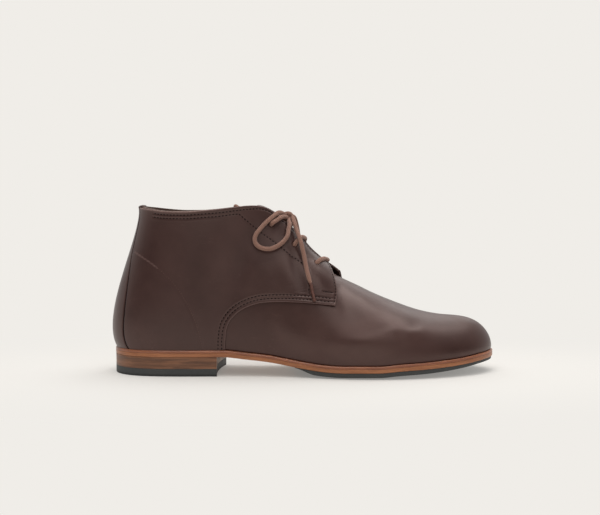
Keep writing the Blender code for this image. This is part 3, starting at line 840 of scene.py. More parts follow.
def makeGrainGroup():
    # smooth calf: fine pores, a soft pebble, and slow changes of tone
    group, place, coarse, out = newGroup("calfGrain", "Coarse", 1.0, ("Height", "Tone", "Pores"))
    sized = node(group, "ShaderNodeVectorMath", {0: place, "Scale": coarse},
                 operation="SCALE").outputs[0]
    cells = node(group, "ShaderNodeTexVoronoi",
                 {"Vector": sized, "Scale": 1150.0, "Randomness": 1.0},
                 feature="SMOOTH_F1").outputs["Distance"]
    fine, wide = noise(group, sized, 2600.0, 2.0), noise(group, sized, 320.0, 3.0)
    height = plus(group, times(group, fine, 0.35),
                  plus(group, times(group, cells, 0.8), times(group, wide, 0.7)))
    tone = plus(group, times(group, noise(group, place, 16.0, 3.0), 0.65),
                times(group, noise(group, place, 75.0, 4.0, 0.6), 0.35))
    put(group, out, {"Height": height, "Tone": tone, "Pores": ramp(group, cells, 0.16, 0.34)})
    return group


def makeScuffGroup():
    # thin, short scratches here and there, and rubbed places
    group, place, amount, out = newGroup("scuffs", "Amount", 0.5, ("Scratch", "Rub"))
    turned = node(group, "ShaderNodeMapping", {"Vector": place, "Rotation": (0.3, 0.5, 0.9),
                                               "Scale": (60.0, 420.0, 420.0)}).outputs[0]
    lines = noise(group, turned, 1.0, 2.0, 0.4, 0.6)
    thin = ramp(group, maths(group, "ABSOLUTE", maths(group, "SUBTRACT", lines, 0.5)), 0.012, 0.0)
    sparse = ramp(group, noise(group, place, 55.0, 2.0), 0.56, 0.66)
    rub = ramp(group, noise(group, place, 30.0, 4.0, 0.6), 0.48, 0.72)
    put(group, out, {"Scratch": times(group, times(group, thin, sparse), amount),
                     "Rub": times(group, rub, amount)})
    return group


def makeFibreGroup():
    # cut leather: short fibres and pale flecks, drawn out along the sole
    group, place, draw, out = newGroup("cutFibres", "Draw", 0.25, ("Height", "Fleck", "Layer"))
    parts = split(group, place)
    drawn = node(group, "ShaderNodeCombineXYZ",
                 {"X": times(group, parts[0], draw), "Y": times(group, parts[1], draw),
                  "Z": parts[2]}).outputs[0]
    put(group, out, {"Height": noise(group, drawn, 1500.0, 4.0, 0.65),
                     "Fleck": ramp(group, noise(group, place, 700.0, 3.0, 0.7), 0.58, 0.70),
                     "Layer": noise(group, drawn, 420.0, 3.0, 0.6, 0.4)})
    return group


grainGroup, scuffGroup, fibreGroup = makeGrainGroup(), makeScuffGroup(), makeFibreGroup()


def startFinish(name):
    finish = bpy.data.materials.new(name)
    finish.use_nodes = True
    tree = finish.node_tree
    place = tree.nodes.new("ShaderNodeTexCoord").outputs["Object"]
    return finish, tree, tree.nodes["Principled BSDF"], place


def useGroup(tree, group, **values):
    return put(tree, node(tree, "ShaderNodeGroup", node_tree=group), values).outputs


def carriedValue(tree, label):
    # numbers that a mesh keeps at its corners
    return node(tree, "ShaderNodeAttribute", attribute_name=label).outputs["Fac"]


def setSurface(tree, shader, colour, rough, height, strength, deep):
    bump = node(tree, "ShaderNodeBump", {"Height": height, "Strength": strength,
                                         "Distance": deep * mm})
    put(tree, shader, {"Base Color": colour, "Roughness": rough, "Normal": bump.outputs[0]})


leather = {
    "quarter": ((0.037, 0.0155, 0.0135), (0.052, 0.023, 0.020)),
    "vamp": ((0.0395, 0.016, 0.0135), (0.056, 0.024, 0.0205)),
    # colour of rubbed ridges and scratches, and also the painted light of the shading places
    "wornAndPaintedLight": (0.17, 0.100, 0.085),
    # rubbed lightens the cut edges, as wear and as a painted highlight
    "rubbed": (0.19, 0.115, 0.105),
    # rim is a painted highlight on the collar's rim
    "rim": (0.36, 0.25, 0.22),
    # seam is painted shade, near black, in the back seam and the lace holes
    "seam": (0.006, 0.004, 0.003),
    "toneSpan": (0.36, 0.66),
    "rough": 0.36,
    "roughTone": 0.22,
    "roughRub": 0.12,
    "specular": 0.73,
    "shine": (1.0, 0.76, 0.70, 1.0),
}
leatherLayers = (
    # where, from nothing to full, strength, tone or share of the dark colour
    ("fold", (0.0, 0.6), 0.10, "wornAndPaintedLight"),      # ridges rub lighter, and painted light where the shading places are above zero
    ("fold", (0.0, -0.7), 0.25, 0.5),        # painted shade in the fold troughs and where the shading places are below zero
    ("pores", None, 0.12, 0.55),
    ("scratch", None, 0.25, "wornAndPaintedLight"),
    # lighter near the cut edges and on the counter's ridge at the back: wear and a painted
    # highlight
    ("edge", (0.75, 0.1), 0.40, "rubbed"),
    # painted highlight on the collar's worn rim and right at the free edges
    ("edge", (0.1, -0.5), 0.5, "rim"),
    # painted shade along the stitch grooves
    ("stitchShade", (0.8, 0.2), 0.22, 0.45),
    # painted shade, near black, in the lace holes and along the back strip's seam
    ("hole", (2.1, 1.5), 1.0, "seam"),
)


def makeLeather(name, dark, light, sewn):
    finish, tree, shader, place = startFinish(name)
    grain = useGroup(tree, grainGroup, Vector=place, Coarse=1.0)
    marks = useGroup(tree, scuffGroup, Vector=place, Amount=0.55)
    masks = {"fold": carriedValue(tree, "fold"), "pores": grain["Pores"],
             "scratch": marks["Scratch"]}
    if sewn:
        uneven = times(tree, noise(tree, place, 500.0, 2.0), -0.35)
        masks["edge"] = plus(tree, carriedValue(tree, "edge"), uneven)
        masks["stitchShade"], masks["hole"] = carriedValue(tree, "stitchShade"), carriedValue(tree, "hole")
    colour = blend(tree, ramp(tree, grain["Tone"], *leather["toneSpan"]), dark, light)
    for label, span, strength, tone in leatherLayers:
        if label in masks:
            mask = ramp(tree, masks[label], *span) if span else masks[label]
            over = leather[tone] if isinstance(tone, str) else darker(dark, tone)
            colour = tint(tree, colour, mask, strength, over)
    rough = plus(tree, leather["rough"],
                 times(tree, maths(tree, "SUBTRACT", grain["Tone"], 0.5), leather["roughTone"]))
    rough = plus(tree, rough, times(tree, marks["Rub"], leather["roughRub"]))
    put(tree, shader, {"Specular IOR Level": leather["specular"],
                       "Specular Tint": leather["shine"]})
    setSurface(tree, shader, colour, rough, grain["Height"], strength=0.22, deep=0.09)
    return finish


def makeCutEdge():
    finish, tree, shader, place = startFinish("cutEdge")
    fibre = useGroup(tree, fibreGroup, Vector=place, Draw=0.4)["Height"]
    colour = blend(tree, fibre, (0.085, 0.047, 0.041), (0.22, 0.145, 0.13))
    setSurface(tree, shader, colour, 0.7, fibre, strength=0.5, deep=0.12)
    return finish


def makeLining():
    finish, tree, shader, place = startFinish("lining")
    grain = useGroup(tree, grainGroup, Vector=place, Coarse=0.7)
    marks = useGroup(tree, scuffGroup, Vector=place, Amount=0.6)
    colour = blend(tree, grain["Tone"], (0.075, 0.040, 0.030), (0.16, 0.090, 0.066))
    colour = tint(tree, colour, marks["Rub"], 0.5, (0.10, 0.058, 0.044))
    setSurface(tree, shader, colour, 0.68, grain["Height"], strength=0.35, deep=0.10)
    return finish


def makeThread(name, dark, light):
    finish, tree, shader, place = startFinish(name)
    twist = node(tree, "ShaderNodeTexWave", {"Vector": place, "Scale": 900.0, "Distortion": 1.5},
                 bands_direction="DIAGONAL").outputs[1]
    shader.inputs["Specular IOR Level"].default_value = 0.1
    setSurface(tree, shader, blend(tree, twist, dark, light), 0.9, twist, strength=0.4, deep=0.05)
    return finish


cotton = {
    "dark": (0.158, 0.079, 0.056),
    "light": (0.307, 0.167, 0.126),
    "fuzz": (0.39, 0.232, 0.18),
    "faded": (0.26, 0.135, 0.10),
    "rough": 0.85,
    "specular": 0.25,
    "sheen": 0.15,
}


def makeLaceFinish():
    finish, tree, shader, place = startFinish("laceCotton")
    run, turn = carriedValue(tree, "run"), carriedValue(tree, "turn")
    # the same crossing plies as in the cord's shape
    phase = times(tree, run, 2 * math.pi / lace["pitch"] * lace["plies"] / 2)
    angle = times(tree, turn, 2 * math.pi * lace["plies"] / 2)
    plies = [maths(tree, "ABSOLUTE", maths(tree, "COSINE", maths(tree, way, angle, phase)))
             for way in ("ADD", "SUBTRACT")]
    yarns = maths(tree, "ABSOLUTE", maths(tree, "SINE", times(tree, run, 9.0)))
    fuzz = noise(tree, place, 2200.0, 3.0, 0.6)
    # lighter on the plies' crowns and darker between them: painted light and shade that follow the
    # cord's shape
    colour = blend(tree, ramp(tree, maths(tree, "MAXIMUM", *plies), 0.72, 0.95), cotton["dark"],
                   cotton["light"])
    colour = tint(tree, colour, fuzz, 0.35, cotton["fuzz"])
    colour = tint(tree, colour, noise(tree, place, 120.0, 2.0), 0.3, cotton["faded"])
    put(tree, shader, {"Specular IOR Level": cotton["specular"],
                       "Sheen Weight": cotton["sheen"]})
    setSurface(tree, shader, colour, cotton["rough"], plus(tree, times(tree, yarns, 0.25), fuzz),
               strength=0.5, deep=0.09)
    return finish


def makeTipFinish():
    finish, tree, shader, place = startFinish("laceTip")
    tone = noise(tree, place, 350.0, 3.0)
    colour = blend(tree, tone, (0.073, 0.026, 0.018), (0.133, 0.050, 0.034))
    setSurface(tree, shader, colour, plus(tree, 0.26, times(tree, tone, 0.15)),
               noise(tree, place, 900.0, 2.0), strength=0.2, deep=0.05)
    return finish


def makeSoleLeather(name, dark, light, streak, rough, draw=0.12, fleck=0.25):
    finish, tree, shader, place = startFinish(name)
    fibre = useGroup(tree, fibreGroup, Vector=place, Draw=draw)
    marks = useGroup(tree, scuffGroup, Vector=place, Amount=0.8)
    colour = blend(tree, ramp(tree, fibre["Layer"], 0.3, 0.7), dark, light)
    colour = tint(tree, colour, ramp(tree, fibre["Height"], 0.5, 0.8), 0.5, streak)
    colour = tint(tree, colour, noise(tree, place, 28.0, 2.0), 0.35, dark)
    colour = tint(tree, colour, fibre["Fleck"], fleck, darker(dark, 0.45))
    setSurface(tree, shader, colour, plus(tree, rough, times(tree, marks["Rub"], 0.15)),
               fibre["Height"], strength=0.3, deep=0.10)
    return finish


stack = {
    "dark": (0.123, 0.052, 0.027),
    "light": (0.26, 0.113, 0.056),
    "streak": (0.33, 0.155, 0.080),
    "joint": (0.035, 0.018, 0.012),
    "waves": 112.0,       # about three lifts to the heel's height
    "wobble": 0.0006,
    "rough": 0.36,
}


def makeStack():
    # the heel's lifts: layers of leather pressed together, stained and waxed
    finish, tree, shader, place = startFinish("stackedHeel")
    fibre = useGroup(tree, fibreGroup, Vector=place, Draw=0.07)
    wobble = times(tree, noise(tree, place, 60.0, 2.0), stack["wobble"])
    height = node(tree, "ShaderNodeCombineXYZ", {"Z": plus(tree, split(tree, place)[2], wobble)})
    layers = node(tree, "ShaderNodeTexWave",
                  {"Vector": height.outputs[0], "Scale": stack["waves"], "Detail": 0.0},
                  bands_direction="Z", wave_profile="SAW").outputs[1]
    colour = blend(tree, ramp(tree, fibre["Layer"], 0.32, 0.68), stack["dark"], stack["light"])
    colour = tint(tree, colour, ramp(tree, fibre["Height"], 0.45, 0.75), 0.45, stack["streak"])
    colour = tint(tree, colour, ramp(tree, layers, 0.9, 1.0), 0.6, stack["joint"])
    setSurface(tree, shader, colour, plus(tree, stack["rough"], times(tree, fibre["Layer"], 0.2)),
               fibre["Height"], strength=0.35, deep=0.12)
    return finish


def makeBreast():
    # the heel's front face is left raw and a little dusty; its pale colour is partly painted
    # light, standing in for the light that the floor throws back on it
    finish, tree, shader, place = startFinish("heelBreast")
    fibre = useGroup(tree, fibreGroup, Vector=place, Draw=0.3)
    marks = useGroup(tree, scuffGroup, Vector=place, Amount=1.0)
    colour = blend(tree, ramp(tree, fibre["Layer"], 0.35, 0.65), (0.25, 0.195, 0.170),
                   (0.57, 0.505, 0.455))
    colour = tint(tree, colour, marks["Rub"], 0.6, (0.72, 0.67, 0.62))
    setSurface(tree, shader, colour, 0.8, fibre["Height"], strength=0.7, deep=0.25)
    return finish


rubber = {
    "dark": (0.034, 0.037, 0.037),
    "light": (0.070, 0.074, 0.073),
    "rubbed": (0.12, 0.112, 0.104),
    "tread": (0.07, 0.068, 0.064),
    # painted shade where the sole meets the floor
    "floorShade": (0.010, 0.010, 0.010),
    "diamonds": 1250.0,   # radians to a metre across the tread
    "rough": 0.62,
}


def makeRubber(name, tread):
    finish, tree, shader, place = startFinish(name)
    fine = noise(tree, place, 1300.0, 3.0, 0.6)
    marks = useGroup(tree, scuffGroup, Vector=place, Amount=1.0)
    colour = blend(tree, fine, rubber["dark"], rubber["light"])
    colour = tint(tree, colour, marks["Rub"], 0.3, rubber["rubbed"])
    height, deep = fine, 0.1
    if tread:
        # a small raised diamond pattern under the sole
        turned = node(tree, "ShaderNodeMapping", {"Vector": place,
                                                  "Rotation": (0, 0, math.pi / 4)})
        waves = [maths(tree, "ABSOLUTE", maths(tree, "SINE",
                                               times(tree, part, rubber["diamonds"])))
                 for part in list(split(tree, turned.outputs[0]))[:2]]
        diamonds = ramp(tree, maths(tree, "MINIMUM", *waves), 0.12, 0.35)
        height, deep = plus(tree, times(tree, fine, 0.15), diamonds), 0.12
        colour = tint(tree, colour, diamonds, 0.35, rubber["tread"])
    # darker towards the floor: painted shade where the sole meets it
    nearFloor = ramp(tree, split(tree, place)[2], 0.0026, 0.0006)
    colour = tint(tree, colour, nearFloor, 0.7, rubber["floorShade"])
    setSurface(tree, shader, colour, plus(tree, rubber["rough"], times(tree, marks["Rub"], 0.2)),
               height, strength=0.5, deep=deep)
    return finish


leatherFinish = makeLeather("calfQuarter", *leather["quarter"], True)
vampFinish = makeLeather("calfVamp", *leather["vamp"], False)
cutEdgeFinish, liningFinish = makeCutEdge(), makeLining()
threadFinish = makeThread("darkThread", (0.008, 0.004, 0.0035), (0.020, 0.012, 0.010))
tanThreadFinish = makeThread("tanThread", (0.10, 0.058, 0.050), (0.19, 0.120, 0.105))
laceFinish, tipFinish = makeLaceFinish(), makeTipFinish()
weltFinish = makeSoleLeather("weltEdge", (0.24, 0.080, 0.038), (0.377, 0.137, 0.065),
                             (0.49, 0.195, 0.095), 0.30)
soleEdgeFinish = makeSoleLeather("soleEdge", (0.305, 0.108, 0.042), (0.47, 0.180, 0.072),
                                 (0.61, 0.264, 0.110), 0.36)
soleFloorFinish = makeSoleLeather("soleFloor", (0.30, 0.17, 0.10), (0.42, 0.26, 0.16),
                                  (0.50, 0.33, 0.22), 0.5, draw=1.0, fleck=0.12)
stackFinish, breastFinish = makeStack(), makeBreast()
rubberFinish, treadFinish = makeRubber("rubber", False), makeRubber("rubberTread", True)
leatherPiece = [leatherFinish, cutEdgeFinish, liningFinish]
print("finishes made")


# where the leather folds: soft troughs (below zero) and ridges
quarterFolds = (
    # height, width, points (x, z) along it
    (-0.85, 4.2, ((140.5, 97.0), (143.1, 84.0), (146.2, 73.1), (148.6, 62.0))),
    (0.55, 7.0, ((131.0, 96.0), (134.0, 84.0), (137.0, 70.0))),
    (0.40, 6.0, ((152.0, 90.0), (157.0, 78.0), (160.0, 67.0))),
    (-0.70, 8.0, ((110.0, 115.0), (103.0, 97.0), (99.0, 78.0), (99.0, 66.0))),
    (0.45, 11.0, ((92.0, 112.0), (84.0, 92.0), (83.0, 72.0))),
    (-0.55, 11.0, ((74.0, 116.0), (68.0, 96.0), (66.0, 74.0), (70.0, 50.0))),
    (0.40, 12.0, ((50.0, 112.0), (47.0, 92.0), (44.0, 74.0))),
    (0.30, 9.0, ((118.0, 88.0), (121.0, 74.0))),
)
vampFolds = (
    # height, width, points (x, z) along it
    (0.90, 6.5, ((172.0, 28.0), (186.0, 27.5), (200.0, 28.0), (214.0, 30.5), (228.0, 33.5))),
    (1.40, 14.0, ((160.0, 29.0), (176.0, 30.0), (190.0, 30.0), (206.0, 32.0), (222.0, 35.0))),
    (0.60, 9.0, ((178.0, 71.0), (190.0, 67.0), (202.0, 62.0), (214.0, 57.0))),
    (0.35, 4.2, ((228.0, 33.0), (236.0, 33.5), (243.0, 37.0))),
    (-0.35, 4.6, ((228.0, 41.0), (236.0, 40.5), (245.0, 42.0))),
    (0.40, 6.0, ((243.0, 38.0), (256.0, 38.5), (270.0, 38.0), (282.0, 35.0))),
    (0.45, 8.0, ((126.0, 50.0), (134.0, 38.0), (150.0, 28.0))),
    (0.32, 3.4, ((188.0, 29.5), (200.0, 31.0), (212.0, 34.0), (222.0, 37.5))),
    (0.24, 2.6, ((227.0, 36.0), (233.0, 35.5), (240.0, 37.5))),
)
# painted light on the leather (above zero) and painted shade (below zero)
quarterPaintedShading = (
    # x, z, radius, amount
    (122.0, 67.0, 17.0, 0.7), (105.0, 66.0, 12.0, 0.35), (46.0, 32.0, 22.0, -0.5),
)
vampPaintedShading = (
    # x, z, radius, amount
    (148.0, 36.0, 18.0, 0.7), (101.0, 36.0, 15.0, -0.55), (164.0, 17.0, 15.0, -0.4),
    (261.0, 29.0, 15.0, -0.6), (186.0, 61.0, 13.0, -1.0),
)


def paintedShadingAt(points, places):
    tone = np.zeros(points.shape[:-1])
    for x, z, radius, amount in places:
        tone += amount * bell(np.hypot(points[..., 0] - x, points[..., 2] - z), radius)
    return tone


foldEnds = 0.08       # how much of a fold's fade is left off at its ends


def foldHeight(points, folds):
    # each fold is highest in its middle and fades towards its ends
    x, z = points[..., 0], points[..., 2]
    height = np.zeros(x.shape)
    for deep, width, line in folds:
        line = evenPoints(smoothPoints(line, 8), 2.0)
        miss = np.array([np.hypot(x - px, z - pz) for px, pz in line])
        share = foldEnds + (1 - 2 * foldEnds) * miss.argmin(axis=0) / (len(line) - 1)
        fade = np.sin(math.pi * share) ** 0.6
        height += deep * bell(miss.min(axis=0), width) * fade
    return height


backStrip = {
    "halfWidths": (
        # z, half width
        (10.0, 23.2), (30.0, 23.2), (44.0, 23.0), (58.0, 21.3), (80.0, 16.1), (96.0, 10.8),
        (106.0, 8.3), (118.0, 6.9), (131.0, 6.4),
    ),
    "seamGap": 0.55,
    "tuckUnder": -0.05,   # its own edge lies this much past the line of the half widths
    "columns": 48,        # from the middle to each edge
    "rows": 200,
    "thick": 0.8,
    "stand": 0.12,        # how far its face stands above the quarters'
    "standLow": 0.25,     # and this much more near the heel
    "standSpan": (0.3, 0.75),
    "edgeRound": 0.8,
    "wide": 23.0,
    "fold": 1.0,          # how far it stands over the rim
    "inside": 11.0,       # and reaches down inside
    "tall": 108.0,        # height of the wall that it lies on
    "rimSteps": 14,
    "downSteps": 13,
}


def seamStations(side, extra):
    # for each row of the form, the station where the back strip's edge runs
    heights = np.linspace(8.0, 135.0, 128)
    widths = [through(backStrip["halfWidths"], 1, z) for z in heights]
    face = quarterFace[side][: form["stations"] // 2]
    found = []
    for j in range(form["rows"] + 1):
        over = side * face[:, j, 1] - np.interp(face[:, j, 2], heights, widths) - extra
        i = int(np.argmax(over > 0))
        found.append((i - over[i] / (over[i] - over[i - 1])) / form["stations"])
    return np.array(found)


def slotRow(u, side):
    # the highest row at station u that stays on its own side of the lace slot
    limit = quarter["slotLateral"] if side < 0 else quarter["slotMedial"]
    rows = np.linspace(0.6, 1.0, 161)
    spare = side * sample(quarterFace[side], np.full(len(rows), u), rows)[:, 1] - limit
    if u < quarter["slotStart"] or spare[-1] >= 0:
        return 1.0
    k = int(np.argmax(spare < 0))
    return float(np.interp(0, [spare[k], spare[k - 1]], [rows[k], rows[k - 1]]))


def byLength(places, side, count):
    # (u, t) places spread evenly along the line that they make on the shoe
    places = np.array(places, dtype=float)
    run = lengths(onFace(places, side))
    return readAt(np.linspace(0, run[-1], count), run, places)


def quarterEdges(side):
    face = quarterFace[side]
    seam = seamStations(side, backStrip["seamGap"])
    back = np.array([[seam[j], j / form["rows"]] for j in range(form["rows"] + 1)])
    low = face[:500, 0, 0]
    foot = float(np.interp(quarterLap[0][0], low, np.arange(len(low)))) / form["stations"]
    lap = [(foot, 0.0)] + locateAll(quarterLap, side, 5)
    front = []
    for u, t in locateAll(quarterFront, side, 5):
        if t >= slotRow(u, side):
            break
        front.append((u, t))
    last = front[-1][0] - quarterLayout["cornerCut"]
    front.append((last, slotRow(last, side)))
    top = [(u, slotRow(u, side)) for u in np.linspace(seam[-1], last, 400)]
    lines = {"back": (back, 200), "foot": ([(back[0][0], 0.0), (foot, 0.0)], 60),
             "lap": (lap, 200), "front": (front, 80), "top": (top, 400)}
    return {name: byLength(line, side, count) for name, (line, count) in lines.items()}


def along(line, shares):
    return readAt(shares, np.linspace(0, 1, len(line)), line)


def patch(bottom, top, left, right, s, r):
    # a four-sided patch between its edges, given as functions of a share
    b, t = bottom(s)[:, None], top(s)[:, None]
    lf, rt = left(r)[None], right(r)[None]
    s, r = s[:, None, None], r[None, :, None]
    corners = ((1 - s) * (1 - r) * b[0] + s * (1 - r) * b[-1]
               + (1 - s) * r * t[0] + s * r * t[-1])
    return (1 - r) * b + r * t + (1 - s) * lf + s * rt - corners


quarterLayout = {
    "footShare": 0.34,    # of the lower edge that is foot, the rest is lap
    "topShare": 0.16,     # the top edge that stands over the foot
    "squeeze": 0.5,       # how much closer the grid lies at the edges
    "relax": 500,
    "coarse": (64, 30),
    "cornerCut": 0.0012,  # of the form's length, at the front edge's top
}


def squeezed(count, much):
    a = np.linspace(0, 1, count + 1)
    return a - much * np.sin(2 * math.pi * a) / (2 * math.pi)


def quarterGrid(edges):
    footShare, topShare = quarterLayout["footShare"], quarterLayout["topShare"]

    def bottom(s):
        first = along(edges["foot"], np.clip(s / footShare, 0, 1))
        second = along(edges["lap"], np.clip((s - footShare) / (1 - footShare), 0, 1))
        return np.where((s <= footShare)[:, None], first, second)

    def top(s):
        return along(edges["top"], np.interp(s, (0, footShare, 1), (0, topShare, 1)))

    def left(r):
        return along(edges["back"], r)

    def right(r):
        return along(edges["front"], r)

    # an even coarse grid is relaxed, and its moves are carried to the fine one
    even = (np.linspace(0, 1, count) for count in quarterLayout["coarse"])
    coarse = patch(bottom, top, left, right, *even)
    start = coarse.copy()
    for _ in range(quarterLayout["relax"]):
        coarse[1:-1, 1:-1] = (coarse[2:, 1:-1] + coarse[:-2, 1:-1]
                              + coarse[1:-1, 2:] + coarse[1:-1, :-2]) / 4
    s = squeezed(quarter["columns"], quarterLayout["squeeze"])
    r = squeezed(quarter["rows"], quarterLayout["squeeze"])
    fine = patch(bottom, top, left, right, s, r)
    return fine + sample(coarse - start, *np.meshgrid(s, r, indexing="ij"))


def rounded(distance, radius):
    inside = np.clip(radius - distance, 0, radius)
    return -(radius - np.sqrt(radius * radius - inside * inside))


# how far from the edges the rows run, and the stitches in them
stitching = {
    "collarFirst": 2.9, "collarSecond": 5.6, "facing": 2.2, "lapFirst": 2.8, "lapSecond": 5.6,
    "front": 1.5, "collarStart": 33.0, "secondEnd": 99.0, "facingSpan": (104.0, 122.0),
    # pitch, length, width and how deep the thread sinks
    "dark": (2.75, 1.7, 1.0, 0.12),
    "tack": (1.3, 1.35, 0.8, 0.05),
    "counter": (1.9, 1.2, 0.45, 0.10),
    "vary": (0.92, 1.04),
    "flat": 0.8,
}
facingRow = (
    (98.8, 125.6), (104.5, 120.5), (111.4, 114.7), (118.3, 109.2), (125.3, 104.2), (132.3, 98.7),
    (140.0, 92.7), (148.0, 87.2), (152.6, 83.6), (153.6, 78.3), (153.3, 70.9), (152.7, 64.0),
)
tackRow = ((163.9, 66.2), (168.5, 65.5), (172.2, 64.9))
counterRow = (
    (17.3, 95.2), (27.8, 89.4), (38.4, 82.2), (46.3, 75.0), (54.0, 65.5), (60.1, 55.2),
    (65.1, 44.0), (68.5, 33.9), (71.4, 21.0),
)


def beside(edge, side, distance, inward):
    # a line on the quarter's face at a distance from one of its edges
    points = onFace(edge, side)
    normals = sample(formNormals[side], edge[:, 0], edge[:, 1])
    away = np.cross(normals, np.gradient(points, axis=0))
    away /= np.linalg.norm(away, axis=1, keepdims=True)
    distance = np.full(len(points), distance)[:, None]
    return evenPoints(seatOnFace(points + away * inward * distance, side), 0.5)


def drawn(table, side):
    return evenPoints(onFace(np.array(locateAll(table, side, 4)), side), 0.5)


def stitchRows(edges, side):
    x = onFace(edges["top"], side)[:, 0]
    shown = x > stitching["collarStart"]
    drop = (stitching["collarFirst"] + (stitching["facing"] - stitching["collarFirst"])
            * ease(x[shown], *stitching["facingSpan"]))
    second = edges["top"][shown & (x < stitching["secondEnd"])]
    return {
        "dark": [
            beside(edges["top"][shown], side, drop, side)[:-4],
            beside(second, side, stitching["collarSecond"], side),
            drawn(facingRow, side),
            beside(edges["lap"], side, stitching["lapFirst"], -side)[:-3],
            beside(edges["lap"], side, stitching["lapSecond"], -side)[:-3],
            beside(edges["front"], side, stitching["front"], -side)[4:],
        ],
        "tack": [drawn(tackRow, side)],
        "counter": [drawn(counterRow, side)],
    }


def counterInside(points):
    # 1 behind the counter's stitched edge, 0 in front of it
    line = evenPoints(smoothPoints(counterRow, 4), 1.0)
    edge = np.interp(points[..., 2], line[::-1, 1], line[::-1, 0])
    return 1 - ease(points[..., 0] - edge, -2.5, 0.5)


# height and width of what is pressed into the quarters' face or stands up on it
relief = {
    "groove": (-0.26, 0.8),
    "grooveLip": (0.06, 0.7),
    "grooveLipAway": 1.5,
    "fineGroove": (-0.10, 0.55),
    "counterRidge": (0.30, 1.0),     # only near the back strip, over this span
    "ridgeSpan": (34.0, 52.0),
    "counter": 0.25,
    "foldFade": 9.0,
    "hole": -1.0,
    "holeSpan": (0.6, 2.3),
    "holeLip": (0.12, 0.8),
    "holeLipAway": 2.9,
    "rimSpan": (60.0, 90.0),         # the worn part of the collar's rim, which gets a painted highlight
    "rimHeights": (119.0, 124.0),
}
shownFace = {}        # the finished outer face of each quarter, for its stitches


def raised(name, away):
    high, wide = relief[name]
    return high * bell(away, wide)


def makeQuarter(name, replaced, side):
    edges = quarterEdges(side)
    rows = stitchRows(edges, side)
    places = quarterGrid(edges)
    u, t = places[..., 0], places[..., 1]
    face = sample(quarterFace[side], u, t)
    free = np.vstack([onFace(line, side)
                      for line in (edges["lap"], edges["front"][::3], edges["top"])])
    edgeAway = distances(face, treeOf(evenPoints(free, 0.4)))
    seamAway = distances(face, treeOf(evenPoints(onFace(edges["back"], side), 0.4)))
    rowAway = distances(face, treeOf(np.vstack(rows["dark"] + rows["tack"])))
    fineAway = distances(face, treeOf(np.vstack(rows["counter"])))
    holeAway = np.min([np.linalg.norm(face - holePlace(row, side, 0.0), axis=-1)
                       for row in eyelets], axis=0)
    fold = foldHeight(face, quarterFolds)
    ridged = 1 - ease(face[..., 0], *relief["ridgeSpan"])
    lift = gap + quarter["thick"] + flapLift(sample(formPoints[side], u, t))
    lift += fold * ease(edgeAway, 0.0, relief["foldFade"])
    lift += rounded(edgeAway, quarter["edgeRound"]) + rounded(seamAway, quarter["seamRound"])
    lift += raised("groove", rowAway) + raised("grooveLip", rowAway - relief["grooveLipAway"])
    lift += raised("fineGroove", fineAway) + ridged * raised("counterRidge", fineAway)
    lift += relief["counter"] * counterInside(face)
    lift += relief["hole"] * (1 - ease(holeAway, *relief["holeSpan"]))
    lift += raised("holeLip", holeAway - relief["holeLipAway"])
    points = onForm(u, t, side, lift)[0]
    points[:, 0, 2] -= form["footSink"] * (t[:, 0] < 0.001)
    # painted highlight along the worn part of the collar's rim, and painted shade along the seam
    # by the back strip and in the lace holes
    rim = (1 - ease(face[..., 0], *relief["rimSpan"])) * ease(face[..., 2], *relief["rimHeights"])
    values = {"edge": np.minimum(edgeAway, fineAway * 0.8 + 4 * (1 - ridged)) - 0.8 * rim,
              "stitchShade": rowAway,
              "hole": np.minimum(holeAway, 1.45 + 0.5 * seamAway),
              # the fold values also carry the painted light and shade of the shading places
              "fold": fold + paintedShadingAt(face, quarterPaintedShading)}
    mesh = gridMesh(name, points, flip=side > 0, values=values)
    outer = bmesh.new()
    outer.from_mesh(mesh)
    shownFace[side] = BVHTree.FromBMesh(outer)
    outer.free()
    piece = newPiece(name, mesh, leatherPiece, [replaced])
    thicken(piece, quarter["wall"])
    return rows


def makeStitches(name, rows, finish, pitch, long, wide, sink):
    # one short thread is shaped once, then joined in at each place, partly sunk in its groove
    bm = bmesh.new()
    bmesh.ops.create_uvsphere(bm, u_segments=8, v_segments=6, radius=0.5,
                              matrix=Matrix.Rotation(math.pi / 2, 4, "Y"))
    thread = bpy.data.meshes.new("thread")
    bm.to_mesh(thread)
    bm.free()
    shape = np.empty(len(thread.vertices) * 3)
    thread.vertices.foreach_get("co", shape)
    shape = shape.reshape(-1, 3) * (long * mm, wide * mm, wide * stitching["flat"] * mm)
    joined = bmesh.new()
    for side, points in rows:
        run = lengths(points)
        at = (np.arange(int(run[-1] / pitch)) + 0.5) * pitch
        middles = placeAll(readAt(at, run, points))
        ways = readAt(at, run, np.gradient(points, axis=0))
        for middle, way in zip(middles, ways):
            spot, normal = (np.array(part) for part in shownFace[side].find_nearest(middle)[:2])
            way = way / np.linalg.norm(way)
            cross = np.cross(normal, way)
            cross /= np.linalg.norm(cross)
            longer = random.uniform(*stitching["vary"])
            turned = np.array([way * longer, cross, np.cross(way, cross)])
            placed = shape @ turned + spot - normal * sink * mm
            thread.vertices.foreach_set("co", placed.reshape(-1))
            joined.from_mesh(thread)
    bmesh.ops.recalc_face_normals(joined, faces=joined.faces)
    mesh = bpy.data.meshes.new(name)
    joined.to_mesh(mesh)
    joined.free()
    bpy.data.meshes.remove(thread)
    mesh.shade_smooth()
    newPiece(name, mesh, [finish])


def plainLeather(edge):
    # what the leather finish reads, where there is no stitch, hole or fold
    return {"edge": edge, "fold": edge * 0, "stitchShade": edge * 0 + 9, "hole": edge * 0 + 9}


